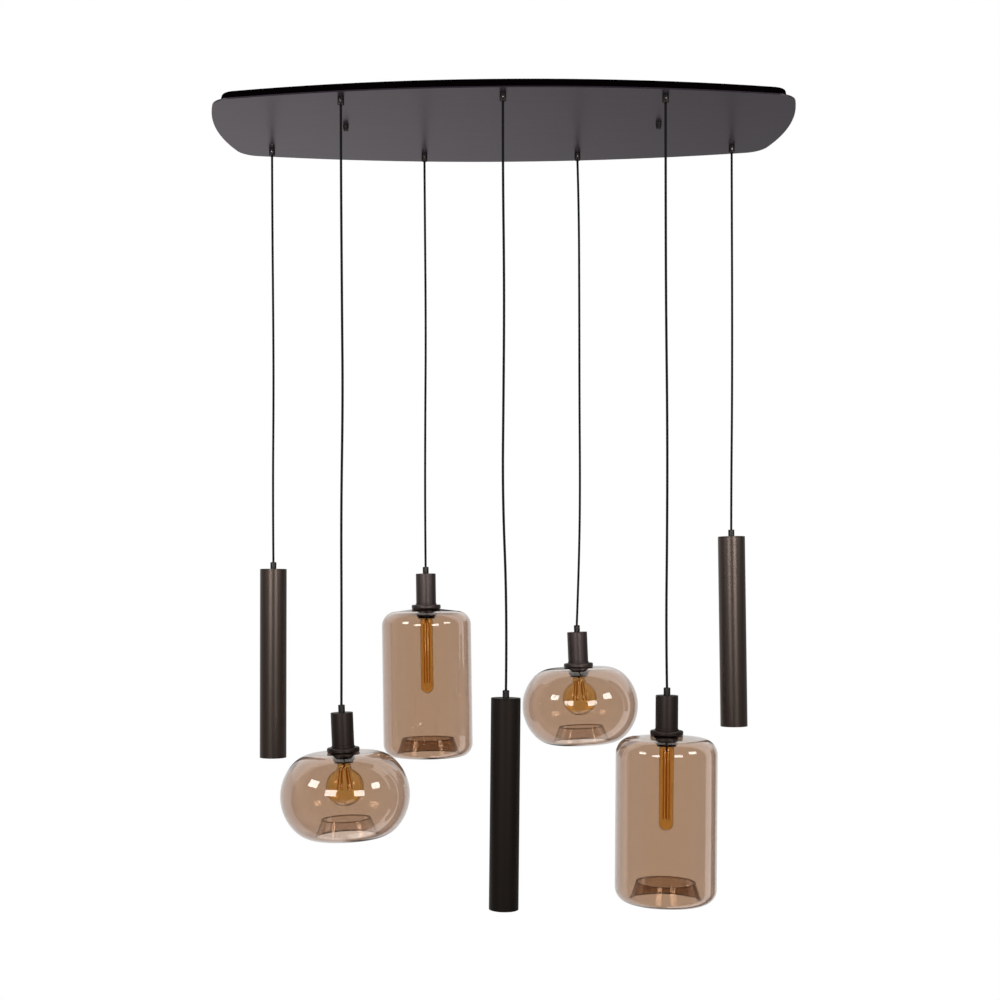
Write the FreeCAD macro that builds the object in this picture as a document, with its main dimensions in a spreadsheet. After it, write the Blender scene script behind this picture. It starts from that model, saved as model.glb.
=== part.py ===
import FreeCAD, Part

import math
import os
import re

import Sketcher

# A cluster pendant: a boat-shaped steel ceiling plate on a shallow black box, with seven
# black cables in two rows. Four cables carry smoke glass shades and three carry metal tubes.
# The frame: +X along the plate, +Y to the back row, +Z up. The origin is in the ceiling plane,
# over the middle of the plate. All lengths are in millimetres and all angles in degrees.

Vector = FreeCAD.Vector
document = FreeCAD.newDocument("cluster_pendant")
sheet = document.addObject("Spreadsheet::Sheet", "sizes")

SIZES = {
    # ceiling plate and the box that stands it off the ceiling
    "plate_half_length": 640,
    "plate_half_width": 245,
    "plate_corner_along": 610,
    "plate_corner_across": 183,
    "plate_corner_round": 55,
    "plate_thickness": 3,
    "box_inset": 17,
    "box_height": 21,
    "box_wall": 1.5,
    # ceiling straps, their studs and the cap nuts
    "strap_along": 347,
    "strap_width": 30,
    "strap_half_span": 150,
    "strap_thickness": 2,
    "strap_hole_across": 110,
    "strap_hole_radius": 2.75,
    "stud_across": -20,
    "stud_radius": 2.5,
    "stud_into_nut": 5,
    "nut_radius": 6.5,
    "nut_skirt": 8,
    "nut_tip_radius": 5.3,
    "nut_tip": 5,
    "nut_spare": 1,
    # places of the seven cables on the plate
    "back_inner_along": 181,
    "back_inner_across": 187,
    "back_outer_along": 536,
    "back_outer_across": 139,
    "front_outer_along": 340.5,
    "front_outer_across": -191,
    "front_middle_across": -206.5,
    # cord grips
    "cable_radius": 2.65,
    "grip_bore": 2.95,
    "grip_mouth": 3.4,
    "grip_radius": 7.1,
    "grip_height": 16,
    "grip_bevel": 1.5,
    "nipple_radius": 5,
    "thread_clearance": 0.15,
    "ceiling_nipple": 8,
    "locknut_radius": 8,
    "locknut_height": 4,
    "screw_radius": 1.5,
    "screw_proud": 0.6,
    "cable_in_grip": 2,
    # terminal block and the leads inside the box
    "block_length": 100,
    "block_width": 22,
    "block_height": 14,
    "block_notch": 3,
    "lead_width": 5,
    "lead_thickness": 2,
    "lead_rise": 6,
    "lead_run_out": 34,
    # drops from the ceiling grip's mouth to the top of each hanging cord grip
    "drop_one": 951,
    "drop_two": 1260,
    "drop_three": 961,
    "drop_four": 1228,
    "drop_five": 1099,
    "drop_six": 1223,
    "drop_seven": 876,
    # sideways lean of each pendant
    "lean_one": 0.1,
    "lean_two": -2.4,
    "lean_three": -0.8,
    "lean_four": 0.6,
    "lean_five": -2.4,
    "lean_six": 0.4,
    "lean_seven": -0.8,
    # metal parts on a glass shade
    "cap_radius": 23.5,
    "cap_height": 70,
    "cap_wall": 1,
    "cap_edge": 1,
    "collar_radius": 24.6,
    "collar_height": 3.5,
    "flange_radius": 34.3,
    "flange_height": 10.5,
    "flange_bevel": 2.5,
    # lampholder and the ring that clamps the shade
    "holder_radius": 20,
    "holder_clearance": 0.2,
    "holder_hang": 21,
    "holder_above_cap_rim": 30,
    "holder_top": 8,
    "holder_bevel": 2,
    "holder_shoulder": 22.2,
    "shoulder_height": 3,
    "socket_radius": 14,
    "socket_depth": 29,
    "ring_radius": 26,
    "ring_lip": 4,
    "ring_step_radius": 23.2,
    "ring_height": 12,
    # glass shades
    "glass_wall": 3,
    "glass_hole": 21,
    "oval_radius": 136,
    "oval_half_height": 90,
    "oval_side_round": 100,
    "oval_side_angle": 45,
    "jar_radius": 105.5,
    "jar_height": 348,
    "jar_dome": 5,
    "jar_shoulder_round": 34,
    "jar_foot_round": 30,
    "fold_round": 8,
    "oval_fold": 70,
    "oval_collar": 40,
    "oval_collar_slope": 22,
    "jar_fold": 78,
    "jar_collar": 42,
    "jar_collar_slope": 18,
    # lamps in the glass shades
    "lamp_cap_radius": 13,
    "lamp_cap_gap": 1.5,
    "lamp_cap_length": 25,
    "lamp_tip_radius": 4.5,
    "lamp_tip": 6,
    "bulb_wall": 0.8,
    "globe_radius": 40,
    "globe_reach": 92,
    "globe_neck": 16,
    "stick_radius": 15,
    "stick_reach": 178,
    "stem_radius": 3,
    "stem_length": 12,
    "stem_disc": 1,
    "filament_radius": 1.2,
    "globe_filament": 34,
    "globe_filament_circle": 9,
    "stick_filament": 130,
    "stick_filament_circle": 6,
    # metal tubes and the spot lamps in them
    "tube_radius": 31,
    "tube_length": 441,
    "tube_wall": 1.5,
    "spot_recess": 37,
    "spot_radius": 25,
    "spot_length": 54,
    "spot_rim": 6,
    "spot_neck": 12,
    "spot_bowl_round": 60,
    "spot_base": 10,
    "ceramic_radius": 15,
    "ceramic_height": 28,
    "disc_thickness": 2,
    "disc_height": 18,
}

for row, (name, size) in enumerate(SIZES.items(), start=1):
    sheet.set("A%d" % row, name)
    sheet.set("B%d" % row, str(size))
    sheet.setAlias("B%d" % row, name)
document.recompute()


# Two points closer than this are one.
SAME_PLACE = 0.001


def rule(text):
    """Turn a rule written with the sizes' names into an expression that reads the sheet."""
    return re.sub(r"[a-z_]{3,}", lambda word: "sizes." + word.group() if word.group() in SIZES
                  else word.group(), str(text))


def value(text):
    return float(sheet.evalExpression(rule(text)))


def origin_plane(body, role):
    return [plane for plane in body.Origin.OriginFeatures if plane.Role == role][0]


def new_sketch(body, label, role):
    sketch = body.newObject("Sketcher::SketchObject", label)
    sketch.AttachmentSupport = [(origin_plane(body, role), "")]
    sketch.MapMode = "FlatFace"
    return sketch


def pin(sketch, kind, edge, point, text):
    """Hold one coordinate of a point of an edge at the rule's value."""
    number = sketch.addConstraint(Sketcher.Constraint(kind, -1, 1, edge, point, value(text)))
    sketch.setExpression("Constraints[%d]" % number, rule(text))


def size_round(sketch, edge, text):
    number = sketch.addConstraint(Sketcher.Constraint("Radius", edge, value(text)))
    sketch.setExpression("Constraints[%d]" % number, rule(text))


def bend(start, end, radius):
    """The arc shorter than a half circle that leads from start to end; a negative radius has
    its centre to the right of the way."""
    chord = end - start
    reach = math.sqrt(radius ** 2 - (chord.Length / 2) ** 2)
    left = Vector(-chord.y, chord.x, 0).normalize()
    centre = (start + end) / 2 + left * math.copysign(reach, radius)
    first, last = (start, end) if radius > 0 else (end, start)
    angles = [math.atan2(point.y - centre.y, point.x - centre.x) for point in (first, last)]
    return Part.ArcOfCircle(Part.Circle(centre, Vector(0, 0, 1), abs(radius)), *angles)


def draw(sketch, outline):
    """Draw a closed outline. Each entry is a corner (across, up) or (across, up, radius), where
    the radius is that of the arc leading on to the next corner."""
    corners = [Vector(value(entry[0]), value(entry[1]), 0) for entry in outline]
    ends = []
    for number, entry in enumerate(outline):
        start = corners[number]
        end = corners[(number + 1) % len(corners)]
        if len(entry) == 2:
            sketch.addGeometry(Part.LineSegment(start, end), False)
            ends.append((1, 2))
        else:
            radius = value(entry[2])
            sketch.addGeometry(bend(start, end, radius), False)
            ends.append((1, 2) if radius > 0 else (2, 1))
    for number, entry in enumerate(outline):
        following = (number + 1) % len(corners)
        sketch.addConstraint(Sketcher.Constraint("Coincident", number, ends[number][1],
                                                 following, ends[following][0]))
        pin(sketch, "DistanceX", number, ends[number][0], entry[0])
        pin(sketch, "DistanceY", number, ends[number][0], entry[1])
        if len(entry) == 3:
            size_round(sketch, number, "abs(%s)" % entry[2])


def place(piece, along="0", across="0", up="0", lean=None):
    """Bind a piece's place, and its lean about the Y axis, to the sheet."""
    if lean:
        piece.Placement = FreeCAD.Placement(Vector(), FreeCAD.Rotation(Vector(0, 1, 0), 1))
        piece.setExpression("Placement.Rotation.Angle", rule(lean))
    for axis, text in (("x", along), ("y", across), ("z", up)):
        piece.setExpression("Placement.Base." + axis, rule(text))
    return piece


def turned(label, outline):
    """A piece turned about its own Z axis, from an outline of (radius, height) corners."""
    body = document.addObject("PartDesign::Body", label)
    sketch = new_sketch(body, label + "_outline", "XZ_Plane")
    draw(sketch, outline)
    turn = body.newObject("PartDesign::Revolution", label + "_turn")
    turn.Profile = sketch
    turn.ReferenceAxis = (sketch, ["V_Axis"])
    turn.Angle = 360
    body.Tip = turn
    return body


def padded(label, outline, height):
    """A plate of the given height on the XY plane."""
    body = document.addObject("PartDesign::Body", label)
    sketch = new_sketch(body, label + "_outline", "XY_Plane")
    draw(sketch, outline)
    pad = body.newObject("PartDesign::Pad", label + "_pad")
    pad.Profile = sketch
    pad.setExpression("Length", rule(height))
    body.Tip = pad
    return body


def cut_through(body, label, sketch):
    """Cut a sketch of the XY plane up through the whole body, and check that it cuts."""
    document.recompute()
    before = body.Shape.Volume
    pocket = body.newObject("PartDesign::Pocket", label)
    pocket.Profile = sketch
    pocket.Type = "ThroughAll"
    pocket.Reversed = True
    body.Tip = pocket
    document.recompute()
    if not body.Shape.Volume < before:
        raise RuntimeError(label + " cuts nothing")


def drill(body, label, holes):
    """Cut round holes, each (along, across, radius), through a body that stands on XY."""
    sketch = new_sketch(body, label + "_circles", "XY_Plane")
    for number, (along, across, radius) in enumerate(holes):
        centre = Vector(value(along), value(across), 0)
        sketch.addGeometry(Part.Circle(centre, Vector(0, 0, 1), value(radius)), False)
        pin(sketch, "DistanceX", number, 3, along)
        pin(sketch, "DistanceY", number, 3, across)
        size_round(sketch, number, radius)
    cut_through(body, label, sketch)


def round_upright_edges(body, label, radius, along, across):
    """Round the upright edges that lie nearest to the four corners (along, across)."""
    document.recompute()
    corner = Vector(value(along), value(across), 0)
    names = []
    for number, edge in enumerate(body.Shape.Edges, start=1):
        foot = edge.Vertexes[0].Point
        head = edge.Vertexes[-1].Point
        upright = Vector(foot.x - head.x, foot.y - head.y, 0).Length < SAME_PLACE
        if upright and (Vector(abs(foot.x), abs(foot.y), 0) - corner).Length < SAME_PLACE:
            names.append("Edge%d" % number)
    base = body.Tip
    fillet = body.newObject("PartDesign::Fillet", label)
    fillet.Base = (base, names)
    fillet.setExpression("Radius", rule(radius))
    body.Tip = fillet


def group(label, master, places):
    """One node of identical pieces: a link to the master at each place."""
    links = []
    for number, spot in enumerate(places, start=1):
        link = document.addObject("App::Link", "%s_%d" % (label, number))
        link.LinkedObject = master
        place(link, *spot)
        links.append(link)
    compound = document.addObject("Part::Compound", label)
    compound.Links = links
    return compound


# ---------------------------------------------------------------- places of the seven pendants

CANOPY_HEIGHT = "(box_height + plate_thickness)"
GRIP_MOUTH_UP = "(-%s - grip_height)" % CANOPY_HEIGHT

CABLES = [
    # number, along, across, drop, lean, kind
    (1, "-back_outer_along", "back_outer_across", "drop_one", "lean_one", "tube"),
    (2, "-front_outer_along", "front_outer_across", "drop_two", "lean_two", "oval"),
    (3, "-back_inner_along", "back_inner_across", "drop_three", "lean_three", "jar"),
    (4, "0", "front_middle_across", "drop_four", "lean_four", "tube"),
    (5, "back_inner_along", "back_inner_across", "drop_five", "lean_five", "oval"),
    (6, "front_outer_along", "front_outer_across", "drop_six", "lean_six", "jar"),
    (7, "back_outer_along", "back_outer_across", "drop_seven", "lean_seven", "tube"),
]

# Each cable's route, as (sideways, down) from its ceiling grip's mouth. The first and last
# points are the cable's ends; the small sideways steps are the set of the cable.
ROUTES = {
    1: [(0, 0), (0.6, 150), (3.0, 400), (3.6, 570), (1.8, 790), (3.2, 951)],
    2: [(0, 0), (0.3, 140), (2.4, 430), (4.2, 620), (0.6, 850), (1.6, 1080), (1.2, 1260)],
    3: [(0, 0), (0.9, 120), (3.4, 400), (1.8, 620), (1.4, 830), (2.8, 961)],
    4: [(0, 0), (-0.3, 130), (2.9, 390), (1.2, 620), (-0.9, 820), (8.6, 1060), (6.3, 1228)],
    5: [(0, 0), (3.4, 110), (4.5, 330), (4.8, 560), (6.4, 790), (3.6, 960), (-1.6, 1099)],
    6: [(0, 0), (0.1, 200), (0.9, 430), (3.8, 680), (3.2, 900), (0.9, 1110), (2.9, 1223)],
    7: [(0, 0), (0.3, 140), (1.1, 330), (1.0, 580), (-0.9, 770), (-1.0, 876)],
}


def hang_up(drop):
    return "%s - %s" % (GRIP_MOUTH_UP, drop)


def hang_along(number, along):
    """A pendant hangs where its cable's route ends."""
    return "%s + (%s)" % (along, ROUTES[number][-1][0])


# ---------------------------------------------------------------- the canopy


def boat(inset):
    """The plate's outline, set in by a distance: four bowed sides that meet at four corners."""
    along = "(plate_corner_along - %s)" % inset
    across = "(plate_corner_across - %s)" % inset
    side_rise = "(plate_half_width - plate_corner_across)"
    end_rise = "(plate_half_length - plate_corner_along)"
    side = "(%s^2 + %s^2) / (2 * %s)" % (along, side_rise, side_rise)
    end = "(%s^2 + %s^2) / (2 * %s)" % (across, end_rise, end_rise)
    return [(along, "-" + across, end), (along, across, side),
            ("-" + along, across, end), ("-" + along, "-" + across, side)]


def rounded_corners(body, label, inset):
    round_upright_edges(body, label, "plate_corner_round - %s" % inset,
                        "plate_corner_along - %s" % inset, "plate_corner_across - %s" % inset)


canopy_plate = place(padded("canopy_plate", boat("0"), "plate_thickness"),
                     up="-" + CANOPY_HEIGHT)
rounded_corners(canopy_plate, "canopy_plate_corners", "0")
grip_holes = [(along, across, "nipple_radius + thread_clearance")
              for _, along, across, _, _, _ in CABLES]
stud_holes = [(side + "strap_along", "stud_across", "stud_radius + thread_clearance")
              for side in ("-", "")]
drill(canopy_plate, "canopy_plate_holes", grip_holes + stud_holes)

canopy_box = place(padded("canopy_box", boat("box_inset"), "box_height"), up="-box_height")
inside = new_sketch(canopy_box, "canopy_box_inside", "XY_Plane")
draw(inside, boat("(box_inset + box_wall)"))
cut_through(canopy_box, "canopy_box_hollow", inside)
rounded_corners(canopy_box, "canopy_box_inner_corners", "(box_inset + box_wall)")
rounded_corners(canopy_box, "canopy_box_corners", "box_inset")

# Flat straps on the ceiling. A stud on each passes down through the plate into a cap nut.
HALF_STRAP = "strap_width / 2"
strap = padded("strap", [("-" + HALF_STRAP, "-strap_half_span"), (HALF_STRAP, "-strap_half_span"),
                         (HALF_STRAP, "strap_half_span"), ("-" + HALF_STRAP, "strap_half_span")],
               "strap_thickness")
drill(strap, "strap_holes", [("0", "-strap_hole_across", "strap_hole_radius"),
                             ("0", "strap_hole_across", "strap_hole_radius")])
stud_circle = new_sketch(strap, "stud_circle", "XY_Plane")
stud_circle.addGeometry(Part.Circle(Vector(0, value("stud_across"), 0), Vector(0, 0, 1),
                                    value("stud_radius")), False)
pin(stud_circle, "DistanceX", 0, 3, "0")
pin(stud_circle, "DistanceY", 0, 3, "stud_across")
size_round(stud_circle, 0, "stud_radius")
stud = strap.newObject("PartDesign::Pad", "stud")
stud.Profile = stud_circle
stud.Reversed = True
stud.setExpression("Length", rule(CANOPY_HEIGHT + " - strap_thickness + stud_into_nut"))
strap.Tip = stud
ceiling_straps = group("ceiling_straps", strap,
                       [(side + "strap_along", "0", "-strap_thickness") for side in ("-", "")])

NUT_BEVEL = "(nut_radius - nut_tip_radius)"
cap_nut = turned("cap_nut", [
    ("0", "-nut_skirt - nut_tip"),
    ("nut_tip_radius - %s" % NUT_BEVEL, "-nut_skirt - nut_tip"),
    ("nut_tip_radius", "-nut_skirt - nut_tip + %s" % NUT_BEVEL),
    ("nut_tip_radius", "-nut_skirt"),
    ("nut_radius", "-nut_skirt"),
    ("nut_radius", "0"),
    ("stud_radius + thread_clearance", "0"),
    ("stud_radius + thread_clearance", "-stud_into_nut - nut_spare"),
    ("0", "-stud_into_nut - nut_spare"),
])
cap_nuts = group("cap_nuts", cap_nut,
                 [(side + "strap_along", "stud_across", "-" + CANOPY_HEIGHT) for side in ("-", "")])

# The grips that hold the cables at the plate: a threaded nipple through the plate, a locknut
# above it and a small clamping screw in front.
ceiling_grip = turned("ceiling_grip", [
    ("grip_mouth", "-grip_height"),
    ("grip_radius - grip_bevel", "-grip_height"),
    ("grip_radius", "-grip_height + grip_bevel"),
    ("grip_radius", "0"),
    ("nipple_radius", "0"),
    ("nipple_radius", "ceiling_nipple"),
    ("grip_bore", "ceiling_nipple"),
    ("grip_bore", "-grip_height + cable_in_grip"),
])
on_plate = [(along, across, "-" + CANOPY_HEIGHT) for _, along, across, _, _, _ in CABLES]
ceiling_grips = group("ceiling_grips", ceiling_grip, on_plate)

locknut_body = document.addObject("Part::Prism", "locknut_body")
locknut_body.Polygon = 6
locknut_body.setExpression("Circumradius", rule("locknut_radius"))
locknut_body.setExpression("Height", rule("locknut_height"))
locknut_thread = document.addObject("Part::Cylinder", "locknut_thread")
locknut_thread.setExpression("Radius", rule("nipple_radius + thread_clearance"))
locknut_thread.setExpression("Height", rule("locknut_height"))
locknut = document.addObject("Part::Cut", "locknut")
locknut.Base = locknut_body
locknut.Tool = locknut_thread
grip_locknuts = group("grip_locknuts", locknut,
                      [(along, across, "-box_height") for _, along, across, _, _, _ in CABLES])

clamp_screws = []
for number, along, across, _, _, _ in CABLES:
    clamp_screw = document.addObject("Part::Cylinder", "clamp_screw_%d" % number)
    clamp_screw.setExpression("Radius", rule("screw_radius"))
    clamp_screw.setExpression("Height", rule("screw_proud"))
    clamp_screw.Placement = FreeCAD.Placement(Vector(), FreeCAD.Rotation(Vector(1, 0, 0), 90))
    place(clamp_screw, along, "%s - grip_radius" % across,
          "-%s - grip_height / 2" % CANOPY_HEIGHT)
    clamp_screws.append(clamp_screw)
grip_screws = document.addObject("Part::Compound", "grip_screws")
grip_screws.Links = clamp_screws

# The terminal block lies on the plate, with notches between its poles.
HALF_BLOCK = "block_length / 2"
HALF_BLOCK_WIDTH = "block_width / 2"
terminal_block = place(padded("terminal_block", [
    ("-" + HALF_BLOCK, "-" + HALF_BLOCK_WIDTH), (HALF_BLOCK, "-" + HALF_BLOCK_WIDTH),
    (HALF_BLOCK, HALF_BLOCK_WIDTH), ("-" + HALF_BLOCK, HALF_BLOCK_WIDTH)], "block_height"),
    up="-box_height")
notch = new_sketch(terminal_block, "block_notch_outline", "XZ_Plane")
NOTCH_LEFT = "-block_length / 2 + block_length / 6 - block_notch / 2"
draw(notch, [(NOTCH_LEFT, "block_height - block_notch"),
             (NOTCH_LEFT + " + block_notch", "block_height - block_notch"),
             (NOTCH_LEFT + " + block_notch", "block_height"), (NOTCH_LEFT, "block_height")])
document.recompute()
block_notch = terminal_block.newObject("PartDesign::Pocket", "block_notch_cut")
block_notch.Profile = notch
block_notch.Type = "ThroughAll"
block_notch.Midplane = True
terminal_block.Tip = block_notch
notches = terminal_block.newObject("PartDesign::LinearPattern", "block_notches")
notches.Originals = [block_notch]
notches.Direction = (notch, ["H_Axis"])
notches.Occurrences = 5
notches.setExpression("Length", rule("block_length * 4 / 6"))
terminal_block.Tip = notches


# ---------------------------------------------------------------- cables and leads

BEND_SHARE = 0.45


def hose(points, radius):
    """A round hose along straight runs joined by tangent arcs. An arc takes BEND_SHARE of the
    shorter run beside it."""
    edges = []
    radii = []
    start = points[0]
    for before, point, after in zip(points, points[1:], points[2:]):
        back = (before - point).normalize()
        onward = (after - point).normalize()
        half_turn = (math.pi - back.getAngle(onward)) / 2
        run = min((before - point).Length, (after - point).Length)
        reach = BEND_SHARE * run
        bend_radius = reach / math.tan(half_turn)
        arc_start = point + back * reach
        arc_end = point + onward * reach
        inward = (back + onward).normalize()
        centre = point + inward * (bend_radius / math.cos(half_turn))
        edges.append(Part.LineSegment(start, arc_start).toShape())
        edges.append(Part.Arc(arc_start, centre - inward * bend_radius, arc_end).toShape())
        radii.append(bend_radius)
        start = arc_end
    edges.append(Part.LineSegment(start, points[-1]).toShape())
    path = Part.Wire(edges)
    direction = points[1] - points[0]
    ring = Part.Wire([Part.Circle(points[0], direction, radius).toShape()])
    solid = path.makePipeShell([ring], True, False)
    if solid.Volume < 0:
        solid.reverse()
    return solid, path.Length, radii


cables = []
for number, along, across, drop, _, _ in CABLES:
    stretch = value(drop) / ROUTES[number][-1][1]
    points = [Vector(sideways, 0, -down * stretch) for sideways, down in ROUTES[number]]
    points[0].z = value("cable_in_grip")
    points[-1].z = -value(drop + " + cable_in_grip")
    solid, length, radii = hose(points, value("cable_radius"))
    section = math.pi * value("cable_radius") ** 2
    print("cable_%d: %.0f mm long, volume over section times length %.4f, arc radii %s"
          % (number, length, solid.Volume / (section * length), [round(radius) for radius in radii]))
    cable = document.addObject("Part::Feature", "cable_%d" % number)
    cable.Shape = solid
    cables.append(place(cable, along, across, GRIP_MOUTH_UP))


# The way that a swept solid takes a corner.
MITRED = 1


def ribbon(points):
    """A flat lead along straight runs with mitred corners."""
    direction = (points[1] - points[0]).normalize()
    flat = (points[2] - points[1]).cross(direction).normalize()
    half_width = flat * value("lead_width / 2")
    half_thickness = flat.cross(direction) * value("lead_thickness / 2")
    corners = [points[0] + half_width + half_thickness, points[0] - half_width + half_thickness,
               points[0] - half_width - half_thickness, points[0] + half_width - half_thickness]
    ring = Part.makePolygon(corners + corners[:1])
    solid = Part.makePolygon(points).makePipeShell([ring], True, False, MITRED)
    if solid.Volume < 0:
        solid.reverse()
    return solid


# Leads run from the grips' nipples across the plate to the two long sides of the block. Each
# enters the block at a pole, counted from the block's middle.
lead_start = value("ceiling_nipple - %s" % CANOPY_HEIGHT)
lead_level = lead_start + value("lead_rise")
block_side = value(HALF_BLOCK_WIDTH)
pole_step = value("block_length / 12")
BLOCK_POLES = {1: -3, 2: -3, 3: -1, 4: 0, 5: 1, 6: 3, 7: 3}
lead_solids = []
for number, along, across, _, _, _ in CABLES:
    grip_x = value(along)
    grip_y = value(across)
    facing = math.copysign(1, grip_y)
    pole = BLOCK_POLES[number] * pole_step
    points = [Vector(grip_x, grip_y, lead_start), Vector(grip_x, grip_y, lead_level)]
    if pole != grip_x:
        points.append(Vector(pole, facing * (block_side + value("lead_run_out")), lead_level))
    points.append(Vector(pole, facing * block_side, lead_level))
    lead_solids.append(ribbon(points))
canopy_leads = document.addObject("Part::Feature", "canopy_leads")
canopy_leads.Shape = Part.Compound(lead_solids)


# ---------------------------------------------------------------- the hanging pendants
# Each is drawn downwards from the top of its cord grip, which is its own zero.

CAP_RIM = "(grip_height + cap_height)"
FLANGE_TOP = "(%s + collar_height)" % CAP_RIM
GLASS_TOP = "(%s + flange_height)" % FLANGE_TOP
HOLDER_END = "(%s + holder_hang)" % GLASS_TOP
HOLDER_START = "(%s - holder_above_cap_rim)" % CAP_RIM
HOLDER_BORE = "(holder_radius + holder_clearance)"
LAMP_FACE = "(grip_height + tube_length - spot_recess)"
CERAMIC_END = "(%s - spot_length)" % LAMP_FACE


def down(text):
    return "-(%s)" % text


def cord_grip(label, nipple_end):
    """A cord grip with the threaded nipple that carries what hangs under it."""
    return turned(label, [
        ("grip_mouth", "0"),
        ("grip_radius - grip_bevel", "0"),
        ("grip_radius", "-grip_bevel"),
        ("grip_radius", "-grip_height"),
        ("nipple_radius", "-grip_height"),
        ("nipple_radius", down(nipple_end)),
        ("grip_bore", down(nipple_end)),
        ("grip_bore", "-cable_in_grip"),
    ])


def holder_cap(label):
    hole = "nipple_radius + thread_clearance"
    return turned(label, [
        (hole, "-grip_height"),
        ("cap_radius - cap_edge", "-grip_height"),
        ("cap_radius", "-grip_height - cap_edge"),
        ("cap_radius", down(CAP_RIM)),
        ("cap_radius - cap_wall", down(CAP_RIM)),
        ("cap_radius - cap_wall", "-grip_height - cap_wall"),
        (hole, "-grip_height - cap_wall"),
    ])


def shade_flange(label):
    """The ring that rests on the glass, with a small collar that the cap stands on."""
    edge = "flange_radius - flange_bevel"
    return turned(label, [
        (HOLDER_BORE, down(CAP_RIM)),
        ("collar_radius", down(CAP_RIM)),
        ("collar_radius", down(FLANGE_TOP)),
        (edge, down(FLANGE_TOP)),
        ("flange_radius", down(FLANGE_TOP + " + flange_bevel")),
        ("flange_radius", down(GLASS_TOP + " - flange_bevel")),
        (edge, down(GLASS_TOP)),
        (HOLDER_BORE, down(GLASS_TOP)),
    ])


def lampholder(label):
    """A threaded holder: its shoulder bears on the flange and the lamp screws in from below."""
    thread = "nipple_radius + thread_clearance"
    return turned(label, [
        ("0", down(HOLDER_START + " + holder_top")),
        (thread, down(HOLDER_START + " + holder_top")),
        (thread, down(HOLDER_START)),
        ("holder_radius - holder_bevel", down(HOLDER_START)),
        ("holder_radius", down(HOLDER_START + " + holder_bevel")),
        ("holder_radius", down(CAP_RIM + " - shoulder_height")),
        ("holder_shoulder", down(CAP_RIM + " - shoulder_height")),
        ("holder_shoulder", down(CAP_RIM)),
        ("holder_radius", down(CAP_RIM)),
        ("holder_radius", down(HOLDER_END)),
        ("socket_radius", down(HOLDER_END)),
        ("socket_radius", down(HOLDER_END + " - socket_depth")),
        ("0", down(HOLDER_END + " - socket_depth")),
    ])


def shade_ring(label):
    """The black ring that screws up the holder and clamps the glass against the flange."""
    top = GLASS_TOP + " + glass_wall"
    return turned(label, [
        (HOLDER_BORE, down(top)),
        ("ring_radius", down(top)),
        ("ring_radius", down(top + " + ring_lip")),
        ("ring_step_radius", down(top + " + ring_lip")),
        ("ring_step_radius", down(top + " + ring_height")),
        (HOLDER_BORE, down(top + " + ring_height")),
    ])


def fold(foot_across, foot_round, fold_across, slope, collar, foot, wall):
    """The lower part of one side of a shade: the foot's round runs on into a small fold, and
    the fold into a cone that rises inside to the open collar's rim."""
    fold_up = "(%s + fold_round)" % foot
    reach = "(%s - fold_round)" % foot_round
    shift = "(%s - %s)" % (fold_across, foot_across)
    sink = "sqrt(%s^2 - %s^2)" % (reach, shift)
    inner = "(fold_round - %s)" % wall
    outer = "(%s - %s)" % (foot_round, wall)
    return [
        ("%s + %s * %s / %s" % (foot_across, outer, shift, reach),
         "%s + %s - %s * %s / %s" % (fold_up, sink, outer, sink, reach), inner),
        ("%s - %s * cos(%s)" % (fold_across, inner, slope),
         "%s - %s * sin(%s)" % (fold_up, inner, slope)),
        ("%s - %s / cos(%s) - (%s - fold_round) * tan(%s)"
         % (fold_across, inner, slope, collar, slope), "%s + %s" % (foot, collar)),
    ]


def glass_shell(label, side):
    """Turn a blown shade from its outer side and the same side set in by the wall."""
    top = down(GLASS_TOP)
    outline = [("glass_hole", top)]
    for entry in side("0"):
        outline.append(entry[:2] + tuple("-(%s)" % radius for radius in entry[2:]))
    inner = side("glass_wall")
    for number in reversed(range(len(inner))):
        leading = inner[number - 1][2:] if number else ()
        outline.append(inner[number][:2] + leading)
    outline.append(("glass_hole", "%s - glass_wall" % top))
    return turned(label, outline)


def oval_side(wall):
    """A flattened globe: a wide side round between a shoulder and a foot of one radius."""
    foot_round = ("((oval_half_height - oval_side_round * sin(oval_side_angle))"
                  " / (1 - sin(oval_side_angle)))")
    side_centre = "(oval_radius - oval_side_round)"
    across = "(%s + (oval_side_round - %s) * cos(oval_side_angle))" % (side_centre, foot_round)
    middle = "(-%s - oval_half_height)" % GLASS_TOP
    foot_level = "(%s - oval_half_height + %s)" % (middle, foot_round)
    side = "(oval_side_round - %s)" % wall
    side_end = "%s + %s * cos(oval_side_angle)" % (side_centre, side)
    foot = "(%s - sqrt((%s - fold_round)^2 - (oval_fold - %s)^2) - fold_round)" \
        % (foot_level, foot_round, across)
    return [
        (across, "-%s - %s" % (GLASS_TOP, wall), "(%s - %s)" % (foot_round, wall)),
        (side_end, "%s + %s * sin(oval_side_angle)" % (middle, side), side),
        (side_end, "%s - %s * sin(oval_side_angle)" % (middle, side),
         "(%s - %s)" % (foot_round, wall)),
    ] + fold(across, foot_round, "oval_fold", "oval_collar_slope", "oval_collar", foot, wall)


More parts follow.
